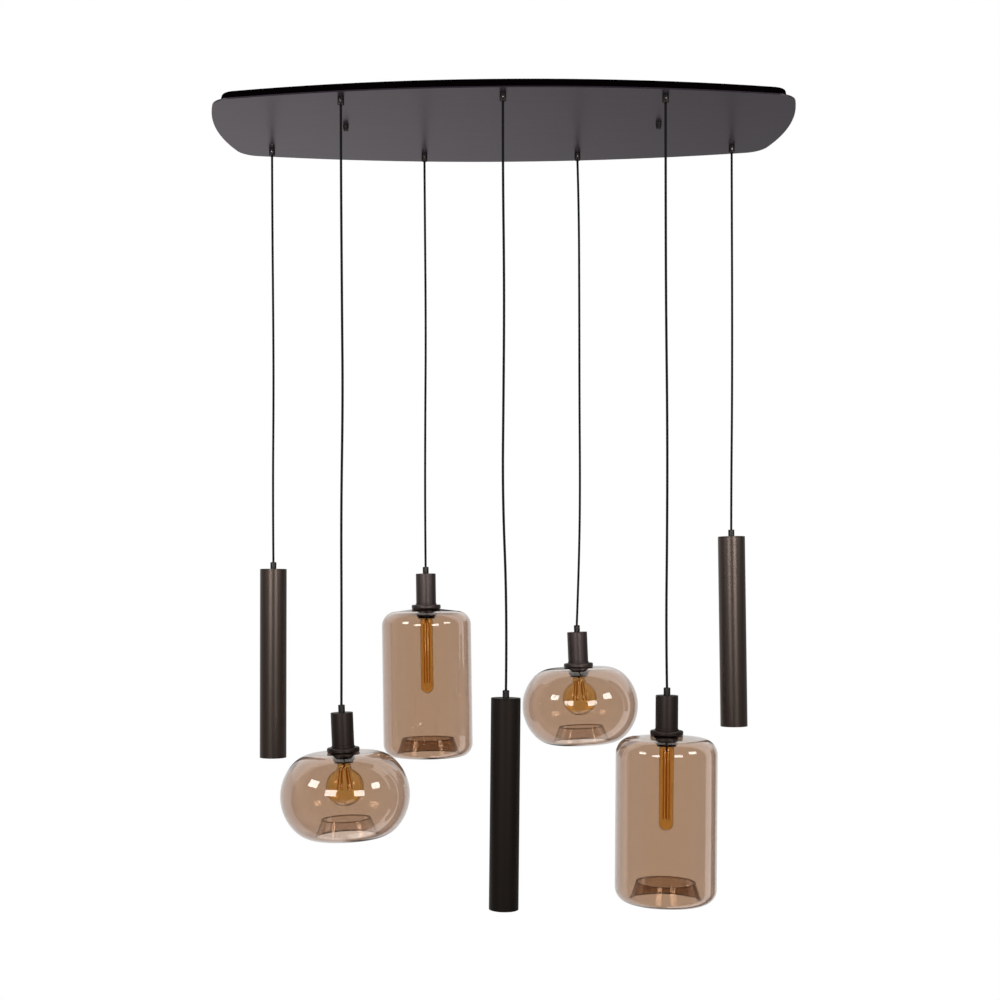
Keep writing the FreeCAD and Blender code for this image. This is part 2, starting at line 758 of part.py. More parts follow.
def jar_side(wall):
    """A straight-sided jar with a flat seat, a rounded shoulder and a rounded foot."""
    top = "(-%s - jar_dome)" % GLASS_TOP
    foot = "(-%s - jar_height)" % GLASS_TOP
    across = "(jar_radius - jar_foot_round)"
    foot_level = "%s + fold_round + sqrt((jar_foot_round - fold_round)^2 - (jar_fold - %s)^2)" \
        % (foot, across)
    return [
        ("flange_radius", "-%s - %s" % (GLASS_TOP, wall)),
        ("jar_radius - jar_shoulder_round", "%s - %s" % (top, wall),
         "(jar_shoulder_round - %s)" % wall),
        ("jar_radius - %s" % wall, "%s - jar_shoulder_round" % top),
        ("jar_radius - %s" % wall, foot_level, "(jar_foot_round - %s)" % wall),
    ] + fold(across, "jar_foot_round", "jar_fold", "jar_collar_slope", "jar_collar", foot, wall)


LAMP_START = "(%s - lamp_cap_gap)" % HOLDER_END


def globe_bulb(label):
    """A round lamp glass on a short neck, blown thin and open into its metal cap."""
    centre = "(%s + globe_reach - globe_radius)" % HOLDER_END
    neck_level = "-%s + sqrt(globe_radius^2 - globe_neck^2)" % centre
    inside = "(globe_radius - bulb_wall)"
    return turned(label, [
        ("lamp_cap_radius", down(LAMP_START)),
        ("globe_neck", neck_level, "-globe_radius"),
        ("0", "-%s - globe_radius" % centre),
        ("0", "-%s - %s" % (centre, inside), inside),
        ("globe_neck - bulb_wall", "-%s + sqrt(%s^2 - (globe_neck - bulb_wall)^2)"
         % (centre, inside)),
        ("lamp_cap_radius - bulb_wall", down(LAMP_START)),
    ])


def stick_bulb(label):
    """A long tubular lamp glass with a round end."""
    end = "(-%s - stick_reach)" % HOLDER_END
    inside = "(stick_radius - bulb_wall)"
    return turned(label, [
        ("lamp_cap_radius", down(LAMP_START)),
        ("stick_radius", down(LAMP_START + " + stick_radius / 2")),
        ("stick_radius", "%s + stick_radius" % end, "-stick_radius"),
        ("0", end),
        ("0", "%s + bulb_wall" % end, inside),
        (inside, "%s + stick_radius" % end),
        (inside, down(LAMP_START + " + stick_radius / 2")),
        ("lamp_cap_radius - bulb_wall", down(LAMP_START)),
    ])


def lamp_cap(label, circle):
    """The lamp's screw cap with its contact, and under it the glass stem with the disc that
    carries the filaments."""
    disc_radius = "%s + filament_radius" % circle
    top = "(-%s + lamp_cap_length)" % LAMP_START
    return turned(label, [
        ("0", top),
        ("lamp_tip_radius", top),
        ("lamp_cap_radius", "%s - lamp_tip" % top),
        ("lamp_cap_radius", down(LAMP_START)),
        ("stem_radius", down(LAMP_START)),
        ("stem_radius", down(LAMP_START + " + stem_length")),
        (disc_radius, down(LAMP_START + " + stem_length")),
        (disc_radius, down(LAMP_START + " + stem_length + stem_disc")),
        ("0", down(LAMP_START + " + stem_length + stem_disc")),
    ])


def filaments(label, count, length, circle):
    """Upright filament rods that hang from the stem's disc."""
    rods = []
    for number in range(count):
        turn = "%s * 360 / %s" % (number, count)
        rod = document.addObject("Part::Cylinder", "%s_%d" % (label, number + 1))
        rod.setExpression("Radius", rule("filament_radius"))
        rod.setExpression("Height", rule(length))
        place(rod, "%s * cos(%s)" % (circle, turn), "%s * sin(%s)" % (circle, turn),
              down("%s + stem_length + stem_disc + %s" % (LAMP_START, length)))
        rods.append(rod)
    return rods


def lamp_base(label, count, length, circle):
    """One node: the lamp's metal cap with its stem, and the filament rods on their own."""
    cap = lamp_cap(label + "_cap", circle)
    base = document.addObject("Part::Compound", label)
    base.Links = [cap] + filaments(label + "_rod", count, length, circle)
    return base


def tube_shade(label):
    hole = "nipple_radius + thread_clearance"
    mouth = down("grip_height + tube_length")
    return turned(label, [
        (hole, "-grip_height"),
        ("tube_radius", "-grip_height"),
        ("tube_radius", mouth),
        ("tube_radius - tube_wall", mouth),
        ("tube_radius - tube_wall", "-grip_height - tube_wall"),
        (hole, "-grip_height - tube_wall"),
    ])


def spot_holder(label):
    """A ceramic holder on a disc that centres it in the tube; the nipple carries it."""
    disc = down(CERAMIC_END + " - disc_height")
    return turned(label, [
        ("nipple_radius + thread_clearance", down(CERAMIC_END + " - ceramic_height")),
        ("ceramic_radius", down(CERAMIC_END + " - ceramic_height")),
        ("ceramic_radius", disc),
        ("tube_radius - tube_wall - holder_clearance", disc),
        ("tube_radius - tube_wall - holder_clearance", disc + " - disc_thickness"),
        ("ceramic_radius", disc + " - disc_thickness"),
        ("ceramic_radius", down(CERAMIC_END)),
        ("0", down(CERAMIC_END)),
        ("0", down(CERAMIC_END + " - ceramic_height + holder_top")),
        ("nipple_radius + thread_clearance", down(CERAMIC_END + " - ceramic_height + holder_top")),
    ])


def spot_lamp(label):
    """A reflector lamp: a narrow base under the holder, a flared bowl and a front rim."""
    return turned(label, [
        ("0", down(CERAMIC_END)),
        ("spot_neck", down(CERAMIC_END)),
        ("spot_neck", down(CERAMIC_END + " + spot_base")),
        ("spot_radius", down(LAMP_FACE + " - spot_rim"), "spot_bowl_round"),
        ("spot_radius", down(LAMP_FACE)),
        ("0", down(LAMP_FACE)),
    ])


GLOBE_FILAMENTS = 6
STICK_FILAMENTS = 4
GLASS_NIPPLE_END = HOLDER_START + " + holder_top"
SPOT_NIPPLE_END = CERAMIC_END + " - ceramic_height + holder_top"

pieces = {
    "canopy_plate": canopy_plate,
    "canopy_box": canopy_box,
    "ceiling_straps": ceiling_straps,
    "cap_nuts": cap_nuts,
    "ceiling_grips": ceiling_grips,
    "grip_locknuts": grip_locknuts,
    "grip_screws": grip_screws,
    "terminal_block": terminal_block,
    "canopy_leads": canopy_leads,
}

for number, along, across, drop, lean, kind in CABLES:
    name = str(number)
    hanging = {}
    if kind == "tube":
        hanging["cord_grip_" + name] = cord_grip("cord_grip_" + name, SPOT_NIPPLE_END)
        hanging["tube_shade_" + name] = tube_shade("tube_shade_" + name)
        hanging["spot_holder_" + name] = spot_holder("spot_holder_" + name)
        hanging["spot_lamp_" + name] = spot_lamp("spot_lamp_" + name)
    else:
        hanging["cord_grip_" + name] = cord_grip("cord_grip_" + name, GLASS_NIPPLE_END)
        hanging["holder_cap_" + name] = holder_cap("holder_cap_" + name)
        hanging["shade_flange_" + name] = shade_flange("shade_flange_" + name)
        hanging["lampholder_" + name] = lampholder("lampholder_" + name)
        hanging["shade_ring_" + name] = shade_ring("shade_ring_" + name)
        side = oval_side if kind == "oval" else jar_side
        hanging["glass_shade_" + name] = glass_shell("glass_shade_" + name, side)
        if kind == "oval":
            hanging["bulb_" + name] = globe_bulb("bulb_" + name)
            base = lamp_base("lamp_base_" + name, GLOBE_FILAMENTS, "globe_filament",
                             "globe_filament_circle")
        else:
            hanging["bulb_" + name] = stick_bulb("bulb_" + name)
            base = lamp_base("lamp_base_" + name, STICK_FILAMENTS, "stick_filament",
                             "stick_filament_circle")
        hanging["lamp_base_" + name] = base
    for label, piece in hanging.items():
        pieces[label] = place(piece, hang_along(number, along), across, hang_up(drop), lean)
    pieces["cable_" + name] = cables[number - 1]

document.recompute()


# ---------------------------------------------------------------- check and write the pieces

for item in document.Objects:
    if "Invalid" in item.State or "Error" in item.State:
        raise RuntimeError("%s failed: %s" % (item.Label, item.State))

os.makedirs("parts", exist_ok=True)
for label, piece in pieces.items():
    piece.Label = label
    shape = piece.Shape
    if shape.isNull() or not shape.isValid() or shape.Volume <= 0:
        raise RuntimeError(label + " has no sound solid")
    shape.exportStep("parts/%s.step" % label)
print("%d pieces written" % len(pieces))
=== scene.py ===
# %% [markdown]
# # Cluster pendant
# A boat-shaped ceiling plate carries seven black cables in two rows. Four of them end in smoke
# glass shades and three in dark metal tubes. All sizes below are in millimetres; the meshes are
# built in the frame's metres. The frame comes first.

import math

import bmesh
import bpy
from mathutils import Matrix, Vector


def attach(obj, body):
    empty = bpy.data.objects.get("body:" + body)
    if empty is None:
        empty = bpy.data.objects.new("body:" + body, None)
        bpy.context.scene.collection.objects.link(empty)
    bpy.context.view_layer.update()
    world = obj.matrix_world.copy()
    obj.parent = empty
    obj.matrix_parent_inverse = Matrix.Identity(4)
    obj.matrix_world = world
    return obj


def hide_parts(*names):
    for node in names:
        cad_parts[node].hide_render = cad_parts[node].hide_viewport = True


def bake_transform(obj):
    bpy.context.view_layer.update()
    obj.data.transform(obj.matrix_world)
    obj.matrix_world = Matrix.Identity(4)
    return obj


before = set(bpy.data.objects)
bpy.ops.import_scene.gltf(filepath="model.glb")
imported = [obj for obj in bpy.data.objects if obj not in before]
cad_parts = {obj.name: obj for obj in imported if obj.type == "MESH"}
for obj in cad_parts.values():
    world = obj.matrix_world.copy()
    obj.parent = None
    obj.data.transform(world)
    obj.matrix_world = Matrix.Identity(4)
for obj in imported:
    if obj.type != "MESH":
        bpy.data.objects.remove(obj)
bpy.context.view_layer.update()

# %% [markdown]
# The sizes that the pieces share. Each pendant is drawn downwards from the top of its cord grip,
# which is its own zero, so the levels here are depths below that point.

# %% Sizes and places
MM = 0.001
ON_AXIS = 1e-6
CANOPY_DEPTH = 24
GRIP_HEIGHT = 16
GRIP_RADIUS = 7.1
GRIP_ROUND = 1.5
GRIP_GROOVE = 0.6
GRIP_MOUTH_RADIUS = 3.4
GRIP_FACE_RADIUS = 5.6
NIPPLE_RADIUS = 5
NIPPLE_BORE = 2.95
NIPPLE_HOLE = 5.15
CABLE_RADIUS = 2.65
GRIP_MOUTH = -(CANOPY_DEPTH + GRIP_HEIGHT)
HOLDER_NIPPLE_END = 64
SPOT_NIPPLE_END = 346
CAP_RIM = 86
FLANGE_TOP = 89.5
FLANGE_RADIUS = 34.3
GLASS_TOP = 100
GLASS_HOLE = 21
RING_TOP = 103
HOLDER_END = 121
HOLDER_START = 56
LAMP_START = 119.5
SPOT_FACE = 420
CERAMIC_END = 366
TUBE_END = 457
GLASS_WALL = 3
CABLE_INTO_GRIP = 2

# number: along, across, lean in degrees, kind, the cable's route as (sideways, down)
PENDANTS = {
    1: (-536, 139, 0.1, "tube",
        [(0, 0), (0.6, 150), (3.0, 400), (3.6, 570), (1.8, 790), (3.2, 951)]),
    2: (-340.5, -191, -2.4, "oval",
        [(0, 0), (0.3, 140), (2.4, 430), (4.2, 620), (0.6, 850), (1.6, 1080), (1.2, 1260)]),
    3: (-181, 187, -0.8, "jar",
        [(0, 0), (0.9, 120), (3.4, 400), (1.8, 620), (1.4, 830), (2.8, 961)]),
    4: (0, -206.5, 0.6, "tube",
        [(0, 0), (-0.3, 130), (2.9, 390), (1.2, 620), (-0.9, 820), (8.6, 1060), (6.3, 1228)]),
    5: (181, 187, -2.4, "oval",
        [(0, 0), (3.4, 110), (4.5, 330), (4.8, 560), (6.4, 790), (3.6, 960), (-1.6, 1099)]),
    6: (340.5, -191, 0.4, "jar",
        [(0, 0), (0.1, 200), (0.9, 430), (3.8, 680), (3.2, 900), (0.9, 1110), (2.9, 1223)]),
    7: (536, 139, -0.8, "tube",
        [(0, 0), (0.3, 140), (1.1, 330), (1.0, 580), (-0.9, 770), (-1.0, 876)]),
}


def pendant_place(number):
    """The matrix that puts a pendant's own millimetres at its place in the frame's metres."""
    along, across, lean, _, route = PENDANTS[number]
    sideways, drop = route[-1]
    top = Vector((along + sideways, across, GRIP_MOUTH - drop)) * MM
    turn = Matrix.Rotation(math.radians(lean), 4, "Y")
    return Matrix.Translation(top) @ turn @ Matrix.Scale(MM, 4)


print("pendants", [(number, PENDANTS[number][3]) for number in PENDANTS])

# %% [markdown]
# The camera stands in front of the light, a little above the middle of the hanging pieces, and
# looks level. The shift brings the whole light into the square.

# %% Camera and render settings
scene = bpy.context.scene
camera_data = bpy.data.cameras.new("camera")
camera = bpy.data.objects.new("camera", camera_data)
scene.collection.objects.link(camera)
scene.camera = camera
camera.location = (-0.0365, -3.1294, -1.0824)
camera.rotation_euler = (math.radians(90), 0, math.radians(1.2))
camera_data.sensor_width = 36
camera_data.lens = 50.4
camera_data.shift_x = 0.0439
camera_data.shift_y = 0.1012
camera_data.clip_end = 50
camera_data.dof.use_dof = False

scene.render.engine = "CYCLES"
scene.render.resolution_x = 1000
scene.render.resolution_y = 1000
scene.cycles.samples = 256
scene.cycles.use_denoising = True
scene.cycles.max_bounces = 20
scene.cycles.transmission_bounces = 20
scene.cycles.transparent_max_bounces = 20
scene.cycles.glossy_bounces = 6
scene.cycles.caustics_reflective = False
scene.cycles.caustics_refractive = False
scene.view_settings.view_transform = "Standard"
scene.view_settings.look = "None"
print("camera at", tuple(camera.location))

# %% [markdown]
# Soft studio light. The room is white where the camera looks straight at it, and a little
# brighter through glass. Metal mirrors a dim room that gets lighter behind the light. Glass
# mirrors white paper behind and above, a tall strip on the right and a wide panel on the left.

# %% World
WORLD_LIGHT = 0.6
PLAIN = 1
PAPER_SEEN = 1.18
MIRRORED_FRONT = 0.05
MIRRORED_BACK = 0.5
MIRRORED_SLOPE = -0.33
GLASS_FRONT = 0.04
GLASS_PANEL = 0.8
GLASS_STRIP = 1.6
GLASS_PAPER = 1.2
# where a change starts and ends, as parts of a direction to the north, east or up
METAL_FADE = (-0.5, 0.9)
METAL_SIDES = (-0.2, 0.2)
PANEL_START = (0.2, 0.3)
STRIP_START = (0, 0.08)
STRIP_END = (0.38, 0.44)
EDGE_START = (0.7, 0.76)
PAPER_START = (0.1, 0.3)
PAPER_RISE = (0.15, 0.35)
LEFT_SIDE = (-0.1, 0)
RIGHT_SIDE = (0, 0.1)
ANY_DEPTH = (0.4, 0.6)

world = bpy.data.worlds.new("studio")
scene.world = world
world.use_nodes = True
nodes = world.node_tree.nodes
links = world.node_tree.links
nodes.clear()
rays = nodes.new("ShaderNodeLightPath")
sky = nodes.new("ShaderNodeTexCoord")
way = nodes.new("ShaderNodeSeparateXYZ")
links.new(sky.outputs["Generated"], way.inputs[0])


def give(socket, amount):
    """Set a socket to a number, or link a value to it."""
    if isinstance(amount, (int, float)):
        socket.default_value = amount
    else:
        links.new(amount, socket)


def ramp(source, bounds, low, high):
    """A smooth step of a value, from low at the first bound to high at the second."""
    node = nodes.new("ShaderNodeMapRange")
    node.interpolation_type = "SMOOTHSTEP"
    node.inputs["From Min"].default_value = bounds[0]
    node.inputs["From Max"].default_value = bounds[1]
    node.inputs["To Min"].default_value = low
    node.inputs["To Max"].default_value = high
    links.new(source, node.inputs["Value"])
    return node.outputs["Result"]


def combine(operation, first, second):
    """Arithmetic on two values or numbers."""
    node = nodes.new("ShaderNodeMath")
    node.operation = operation
    give(node.inputs[0], first)
    give(node.inputs[1], second)
    return node.outputs[0]


def background(strength):
    """A white background of a given strength."""
    node = nodes.new("ShaderNodeBackground")
    node.inputs["Color"].default_value = (1, 1, 1, 1)
    give(node.inputs["Strength"], strength)
    return node.outputs[0]


def choose(switch, otherwise, chosen):
    """One background where a ray's switch is on, another where it is off."""
    node = nodes.new("ShaderNodeMixShader")
    links.new(switch, node.inputs[0])
    links.new(otherwise, node.inputs[1])
    links.new(chosen, node.inputs[2])
    return node.outputs[0]


east, north, up = way.outputs
metal_room = combine("MULTIPLY", ramp(north, METAL_FADE, MIRRORED_FRONT, MIRRORED_BACK),
                     ramp(east, METAL_SIDES, 1 - MIRRORED_SLOPE, 1 + MIRRORED_SLOPE))
left_panel = combine("MULTIPLY", ramp(north, PANEL_START, 0, GLASS_PANEL),
                     ramp(east, LEFT_SIDE, 1, 0))
strip_width = combine("MULTIPLY", ramp(north, STRIP_END, 1, 0), ramp(east, RIGHT_SIDE, 0, 1))
right_strip = combine("MULTIPLY", ramp(north, STRIP_START, 0, GLASS_STRIP), strip_width)
right_edge = combine("MULTIPLY", ramp(north, EDGE_START, 0, GLASS_PANEL),
                     ramp(east, RIGHT_SIDE, 0, 1))
paper = combine("MULTIPLY", ramp(north, PAPER_START, 0, GLASS_PAPER),
                ramp(up, PAPER_RISE, 0, 1))
glass_room = combine("MAXIMUM", combine("MAXIMUM", left_panel, right_strip),
                     combine("MAXIMUM", right_edge, paper))
glass_room = combine("MAXIMUM", glass_room, GLASS_FRONT)
was_mirrored = ramp(rays.outputs["Glossy Depth"], ANY_DEPTH, 0, 1)

mirrored = choose(rays.outputs["Is Singular Ray"], background(metal_room),
                  background(glass_room))
unlit = choose(was_mirrored, background(PAPER_SEEN), mirrored)
through = choose(rays.outputs["Is Diffuse Ray"], unlit, background(WORLD_LIGHT))
shown = choose(rays.outputs["Is Camera Ray"], through, background(PLAIN))
links.new(shown, nodes.new("ShaderNodeOutputWorld").inputs["Surface"])
print("world", len(nodes), "nodes")

# %% [markdown]
# Two soft boxes stand at the sides and two in front. All face the hanging pieces.

# %% Soft boxes
BOX_IN_GLASS = 4.5
BOX_TARGET = Vector((0, 0, -1.3))
# name: place, width, height, power
SOFT_BOXES = {
    "left_box": ((-2.6, -1.5, 0.1), 1.0, 0.75, 32),
    "right_box": ((2.6, -1.5, 0.1), 1.0, 0.75, 32),
    "front_left_box": ((-1.4, -3.1, -0.55), 1.1, 0.8, 36),
    "front_right_box": ((1.4, -3.1, -0.55), 1.1, 0.8, 36),
}


def soft_box(name, place, width, height, power):
    """A soft box that isn't seen directly and shows brighter in glass."""
    data = bpy.data.lights.new(name, "AREA")
    data.use_nodes = True
    tree = data.node_tree
    ray = tree.nodes.new("ShaderNodeLightPath")
    boost = tree.nodes.new("ShaderNodeMapRange")
    boost.inputs["To Min"].default_value = 1
    boost.inputs["To Max"].default_value = BOX_IN_GLASS
    tree.links.new(ray.outputs["Is Singular Ray"], boost.inputs["Value"])
    tree.links.new(boost.outputs["Result"], tree.nodes["Emission"].inputs["Strength"])
    data.shape = "RECTANGLE"
    data.size = width
    data.size_y = height
    data.energy = power
    light = bpy.data.objects.new(name, data)
    scene.collection.objects.link(light)
    light.location = place
    light.rotation_euler = (BOX_TARGET - Vector(place)).to_track_quat("-Z", "Y").to_euler()
    light.visible_camera = False


for box_name, box_values in SOFT_BOXES.items():
    soft_box(box_name, *box_values)
print("lights", [light.name for light in bpy.data.lights])

# %% [markdown]
# Materials. Every constant sits on its shader socket, and a pattern reads Object coordinates.

# %% Materials
def material(name, color, **settings):
    """A new material with one Principled shader; settings name its sockets."""
    made = bpy.data.materials.new(name)
    made.use_nodes = True
    shader = made.node_tree.nodes["Principled BSDF"]
    shader.inputs["Base Color"].default_value = (*color, 1)
    for socket, amount in settings.items():
        shader.inputs[socket.replace("_", " ")].default_value = amount
    return made


def add_grain(made, stretch, scale, depth, rough_low, rough_high):
    """Fine lines of brushing: a stretched noise moves the roughness and the bump."""
    tree = made.node_tree
    shader = tree.nodes["Principled BSDF"]
    place = tree.nodes.new("ShaderNodeTexCoord")
    mapping = tree.nodes.new("ShaderNodeMapping")
    mapping.inputs["Scale"].default_value = stretch
    noise = tree.nodes.new("ShaderNodeTexNoise")
    noise.inputs["Scale"].default_value = scale
    noise.inputs["Detail"].default_value = 5
    spread = tree.nodes.new("ShaderNodeMapRange")
    spread.inputs["To Min"].default_value = rough_low
    spread.inputs["To Max"].default_value = rough_high
    bump = tree.nodes.new("ShaderNodeBump")
    bump.inputs["Strength"].default_value = depth
    bump.inputs["Distance"].default_value = 0.0002
    tree.links.new(place.outputs["Object"], mapping.inputs["Vector"])
    tree.links.new(mapping.outputs["Vector"], noise.inputs["Vector"])
    tree.links.new(noise.outputs["Fac"], spread.inputs["Value"])
    tree.links.new(spread.outputs["Result"], shader.inputs["Roughness"])
    tree.links.new(noise.outputs["Fac"], bump.inputs["Height"])
    tree.links.new(bump.outputs["Normal"], shader.inputs["Normal"])
    return made


def add_painted_rim_sheen(made, middle, edge, blend):
    """A glass whose colour changes from the middle to the rim of the outline: the lighter, lilac
    rim is a painted sheen for the light that the glass bends and mirrors there.
    """
    tree = made.node_tree
    shader = tree.nodes["Principled BSDF"]
    facing = tree.nodes.new("ShaderNodeLayerWeight")
    facing.inputs["Blend"].default_value = blend
    mix = tree.nodes.new("ShaderNodeMix")
    mix.data_type = "RGBA"
    colour_a = [socket for socket in mix.inputs if socket.name == "A" and socket.type == "RGBA"][0]
    colour_b = [socket for socket in mix.inputs if socket.name == "B" and socket.type == "RGBA"][0]
    colour_a.default_value = (*middle, 1)
    colour_b.default_value = (*edge, 1)
    result = [socket for socket in mix.outputs if socket.type == "RGBA"][0]
    tree.links.new(facing.outputs["Facing"], mix.inputs["Factor"])
    tree.links.new(result, shader.inputs["Base Color"])
    return made


def add_braid(made, pitch, depth):
    """A braided sleeve: fine diagonal waves in height."""
    tree = made.node_tree
    shader = tree.nodes["Principled BSDF"]
    place = tree.nodes.new("ShaderNodeTexCoord")
    wave = tree.nodes.new("ShaderNodeTexWave")
    wave.bands_direction = "DIAGONAL"
    wave.inputs["Scale"].default_value = pitch
    wave.inputs["Distortion"].default_value = 1.5
    bump = tree.nodes.new("ShaderNodeBump")
    bump.inputs["Strength"].default_value = depth
    bump.inputs["Distance"].default_value = 0.0003
    tree.links.new(place.outputs["Object"], wave.inputs["Vector"])
    tree.links.new(wave.outputs["Fac"], bump.inputs["Height"])
    tree.links.new(bump.outputs["Normal"], shader.inputs["Normal"])
    return made


LOOKS = {
    "gunmetal_plate": add_grain(
        material("gunmetal_plate", (0.067, 0.051, 0.066), Metallic=0.9, Roughness=0.35),
        (0.6, 60, 60), 9, 0.25, 0.24, 0.38),
    "black_box": material("black_box", (0.001, 0.0005, 0.0007), Roughness=1.0,
                          Specular_IOR_Level=0),
    "zinc_steel": material("zinc_steel", (0.6, 0.6, 0.58), Metallic=1.0, Roughness=0.35),
    "dark_bronze": add_grain(
        material("dark_bronze", (0.068, 0.053, 0.05), Metallic=0.9, Roughness=0.4),
        (60, 60, 3), 12, 0.08, 0.36, 0.46),
    # A darker copy of dark_bronze for the caps and flanges of the front row: painted shade, not
    # another finish.
    "shaded_front_bronze": add_grain(
        material("shaded_front_bronze", (0.035, 0.026, 0.023), Metallic=0.9, Roughness=0.4),
        (60, 60, 3), 12, 0.08, 0.36, 0.46),
    "grip_bronze": material("grip_bronze", (0.03, 0.026, 0.024), Metallic=0.8, Roughness=0.35),
    # The tubes share one finish: the side tubes' lighter colour is painted light, and the front
    # tube's much darker copy below is painted shade.
    "tube_bronze": add_grain(
        material("tube_bronze", (0.08, 0.06, 0.051), Metallic=0.9, Roughness=0.35),
        (60, 60, 2), 12, 0.08, 0.28, 0.38),
    "shaded_front_tube": add_grain(
        material("shaded_front_tube", (0.02, 0.015, 0.012), Metallic=0.9, Roughness=0.45),
        (60, 60, 2), 12, 0.08, 0.42, 0.52),
    "white_plastic": material("white_plastic", (0.7, 0.69, 0.65), Roughness=0.45),
    "lead_sheath": material("lead_sheath", (0.03, 0.03, 0.03), Roughness=0.5),
    "black_cable": add_braid(
        material("black_cable", (0.006, 0.006, 0.007), Roughness=0.8,
                 Specular_IOR_Level=0.05), 320, 0.004),
    "black_plastic": material("black_plastic", (0.006, 0.005, 0.005), Roughness=0.45),
    # The smoke glass turns lighter and lilac towards its outline: painted sheen.
    "smoke_glass": add_painted_rim_sheen(
        material("smoke_glass", (0.6, 0.475, 0.375), Roughness=0.0, IOR=1.45,
                 Transmission_Weight=1.0), (0.6, 0.475, 0.375), (0.64, 0.58, 0.6), 0.25),
    # The oval's collar is the same smoke glass painted lighter: painted light.
    "collar_painted_lighter": material("collar_painted_lighter", (0.9, 0.85, 0.81), Roughness=0.0, IOR=1.45,
                             Transmission_Weight=1.0),
    # The collar's rim is the same smoke glass painted dark: painted shade for the dark line at the
    # glass edge.
    "rim_painted_shade": material("rim_painted_shade", (0.2, 0.13, 0.09), Roughness=0.0, IOR=1.45,
                          Transmission_Weight=1.0),
    "amber_glass": material("amber_glass", (0.98, 0.84, 0.53), Roughness=0.0, IOR=1.45,
                            Transmission_Weight=1.0),
    "amber_stick": material("amber_stick", (0.97, 0.76, 0.38), Roughness=0.0, IOR=1.4,
                            Transmission_Weight=1.0),
    "lamp_tip": material("lamp_tip", (0.99, 0.95, 0.92), Roughness=0.0, IOR=1.45,
                         Transmission_Weight=1.0),
    "lamp_brass": material("lamp_brass", (0.75, 0.5, 0.25), Metallic=1.0, Roughness=0.25),
    "filament": material("filament", (0.75, 0.3, 0.04), Roughness=0.4,
                         Emission_Color=(1.0, 0.32, 0.02, 1), Emission_Strength=0.3),
    "white_ceramic": material("white_ceramic", (0.8, 0.79, 0.76), Roughness=0.5),
    "spot_glass": material("spot_glass", (0.8, 0.82, 0.84), Metallic=0.6, Roughness=0.15),
}
print("materials", len(LOOKS))

# %% [markdown]
# Helpers: an outline with arcs is traced to close points, turned about the axis and set at its
# place. `settle` puts a finished piece on its body with its look, the slot's when none is given,
# and hides its CAD nodes.

# %% Helpers for turned pieces
ARC_STEP = math.radians(6)
SMOOTH_ANGLE = math.radians(35)
SMALL_SEGMENTS = 48
MIDDLE_SEGMENTS = 64
RING_SEGMENTS = 80
LARGE_SEGMENTS = 96
GLASS_SEGMENTS = 128


def trace(outline):
    """Points (radius, height) along a closed outline. An entry's third number is the radius of
    the arc to the next entry; a negative one has its centre to the right of the way."""
    points = []
    for number, entry in enumerate(outline):
        start = Vector(entry[:2])
        end = Vector(outline[(number + 1) % len(outline)][:2])
        points.append(start)
        if len(entry) == 2:
            continue
        radius = entry[2]
        chord = end - start
        reach = math.sqrt(max(radius ** 2 - (chord.length / 2) ** 2, 0))
        left = Vector((-chord.y, chord.x)).normalized()
        centre = (start + end) / 2 + left * math.copysign(reach, radius)
        first = math.atan2(start.y - centre.y, start.x - centre.x)
        sweep = 2 * math.asin(min(chord.length / 2 / abs(radius), 1))
        steps = max(2, math.ceil(sweep / ARC_STEP))
        for step in range(1, steps):
            angle = first + math.copysign(sweep, radius) * step / steps
            points.append(centre + Vector((math.cos(angle), math.sin(angle))) * abs(radius))
    return points


def new_piece(name, mesh, matrix):
    """An object at the origin whose mesh holds its place and points outwards."""
    shaped = bmesh.new()
    shaped.from_mesh(mesh)
    bmesh.ops.transform(shaped, matrix=matrix, verts=shaped.verts)
    bmesh.ops.recalc_face_normals(shaped, faces=shaped.faces)
    shaped.to_mesh(mesh)
    shaped.free()
    mesh.shade_smooth()
    mesh.set_sharp_from_angle(angle=SMOOTH_ANGLE)
    piece = bpy.data.objects.new(name, mesh)
    scene.collection.objects.link(piece)
    return piece


def turned_mesh(name, outline, segments):
    """The mesh of a closed outline turned about the upright axis."""
    points = trace(outline)
    shaped = bmesh.new()
    rings = []
    for point in points:
        if point.x < ON_AXIS:
            rings.append([shaped.verts.new((0, 0, point.y))])
            continue
        rings.append([
            shaped.verts.new((point.x * math.cos(2 * math.pi * turn / segments),
                              point.x * math.sin(2 * math.pi * turn / segments), point.y))
            for turn in range(segments)])
    for number, ring in enumerate(rings):
        following = rings[(number + 1) % len(rings)]
        if len(ring) == 1 and len(following) == 1:
            continue
        for turn in range(segments):
            after = (turn + 1) % segments
            if len(ring) == 1:
                shaped.faces.new((ring[0], following[after], following[turn]))
            elif len(following) == 1:
                shaped.faces.new((ring[turn], ring[after], following[0]))
            else:
                shaped.faces.new((ring[turn], ring[after], following[after], following[turn]))
    mesh = bpy.data.meshes.new(name)
    shaped.to_mesh(mesh)
    shaped.free()
    return mesh


def settle(piece, body, slot, *nodes, look=None):
    """A finished piece rides its body, takes its look and stands for its CAD nodes."""
    piece.data.materials.clear()
    piece.data.materials.append(LOOKS[look or slot])
    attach(piece, body)
    if nodes:
        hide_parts(*nodes)
    return piece


def hang(part, number, outline, slot, segments, look=None):
    """A turned piece of a pendant; it stands for the CAD node of the same name."""
    node_name = "%s_%d" % (part, number)
    mesh = turned_mesh("The_" + node_name, outline, segments)
    piece = new_piece("The_" + node_name, mesh, pendant_place(number))
    return settle(piece, "pendant_%d" % number, slot, node_name, look=look)


print("helpers ready")

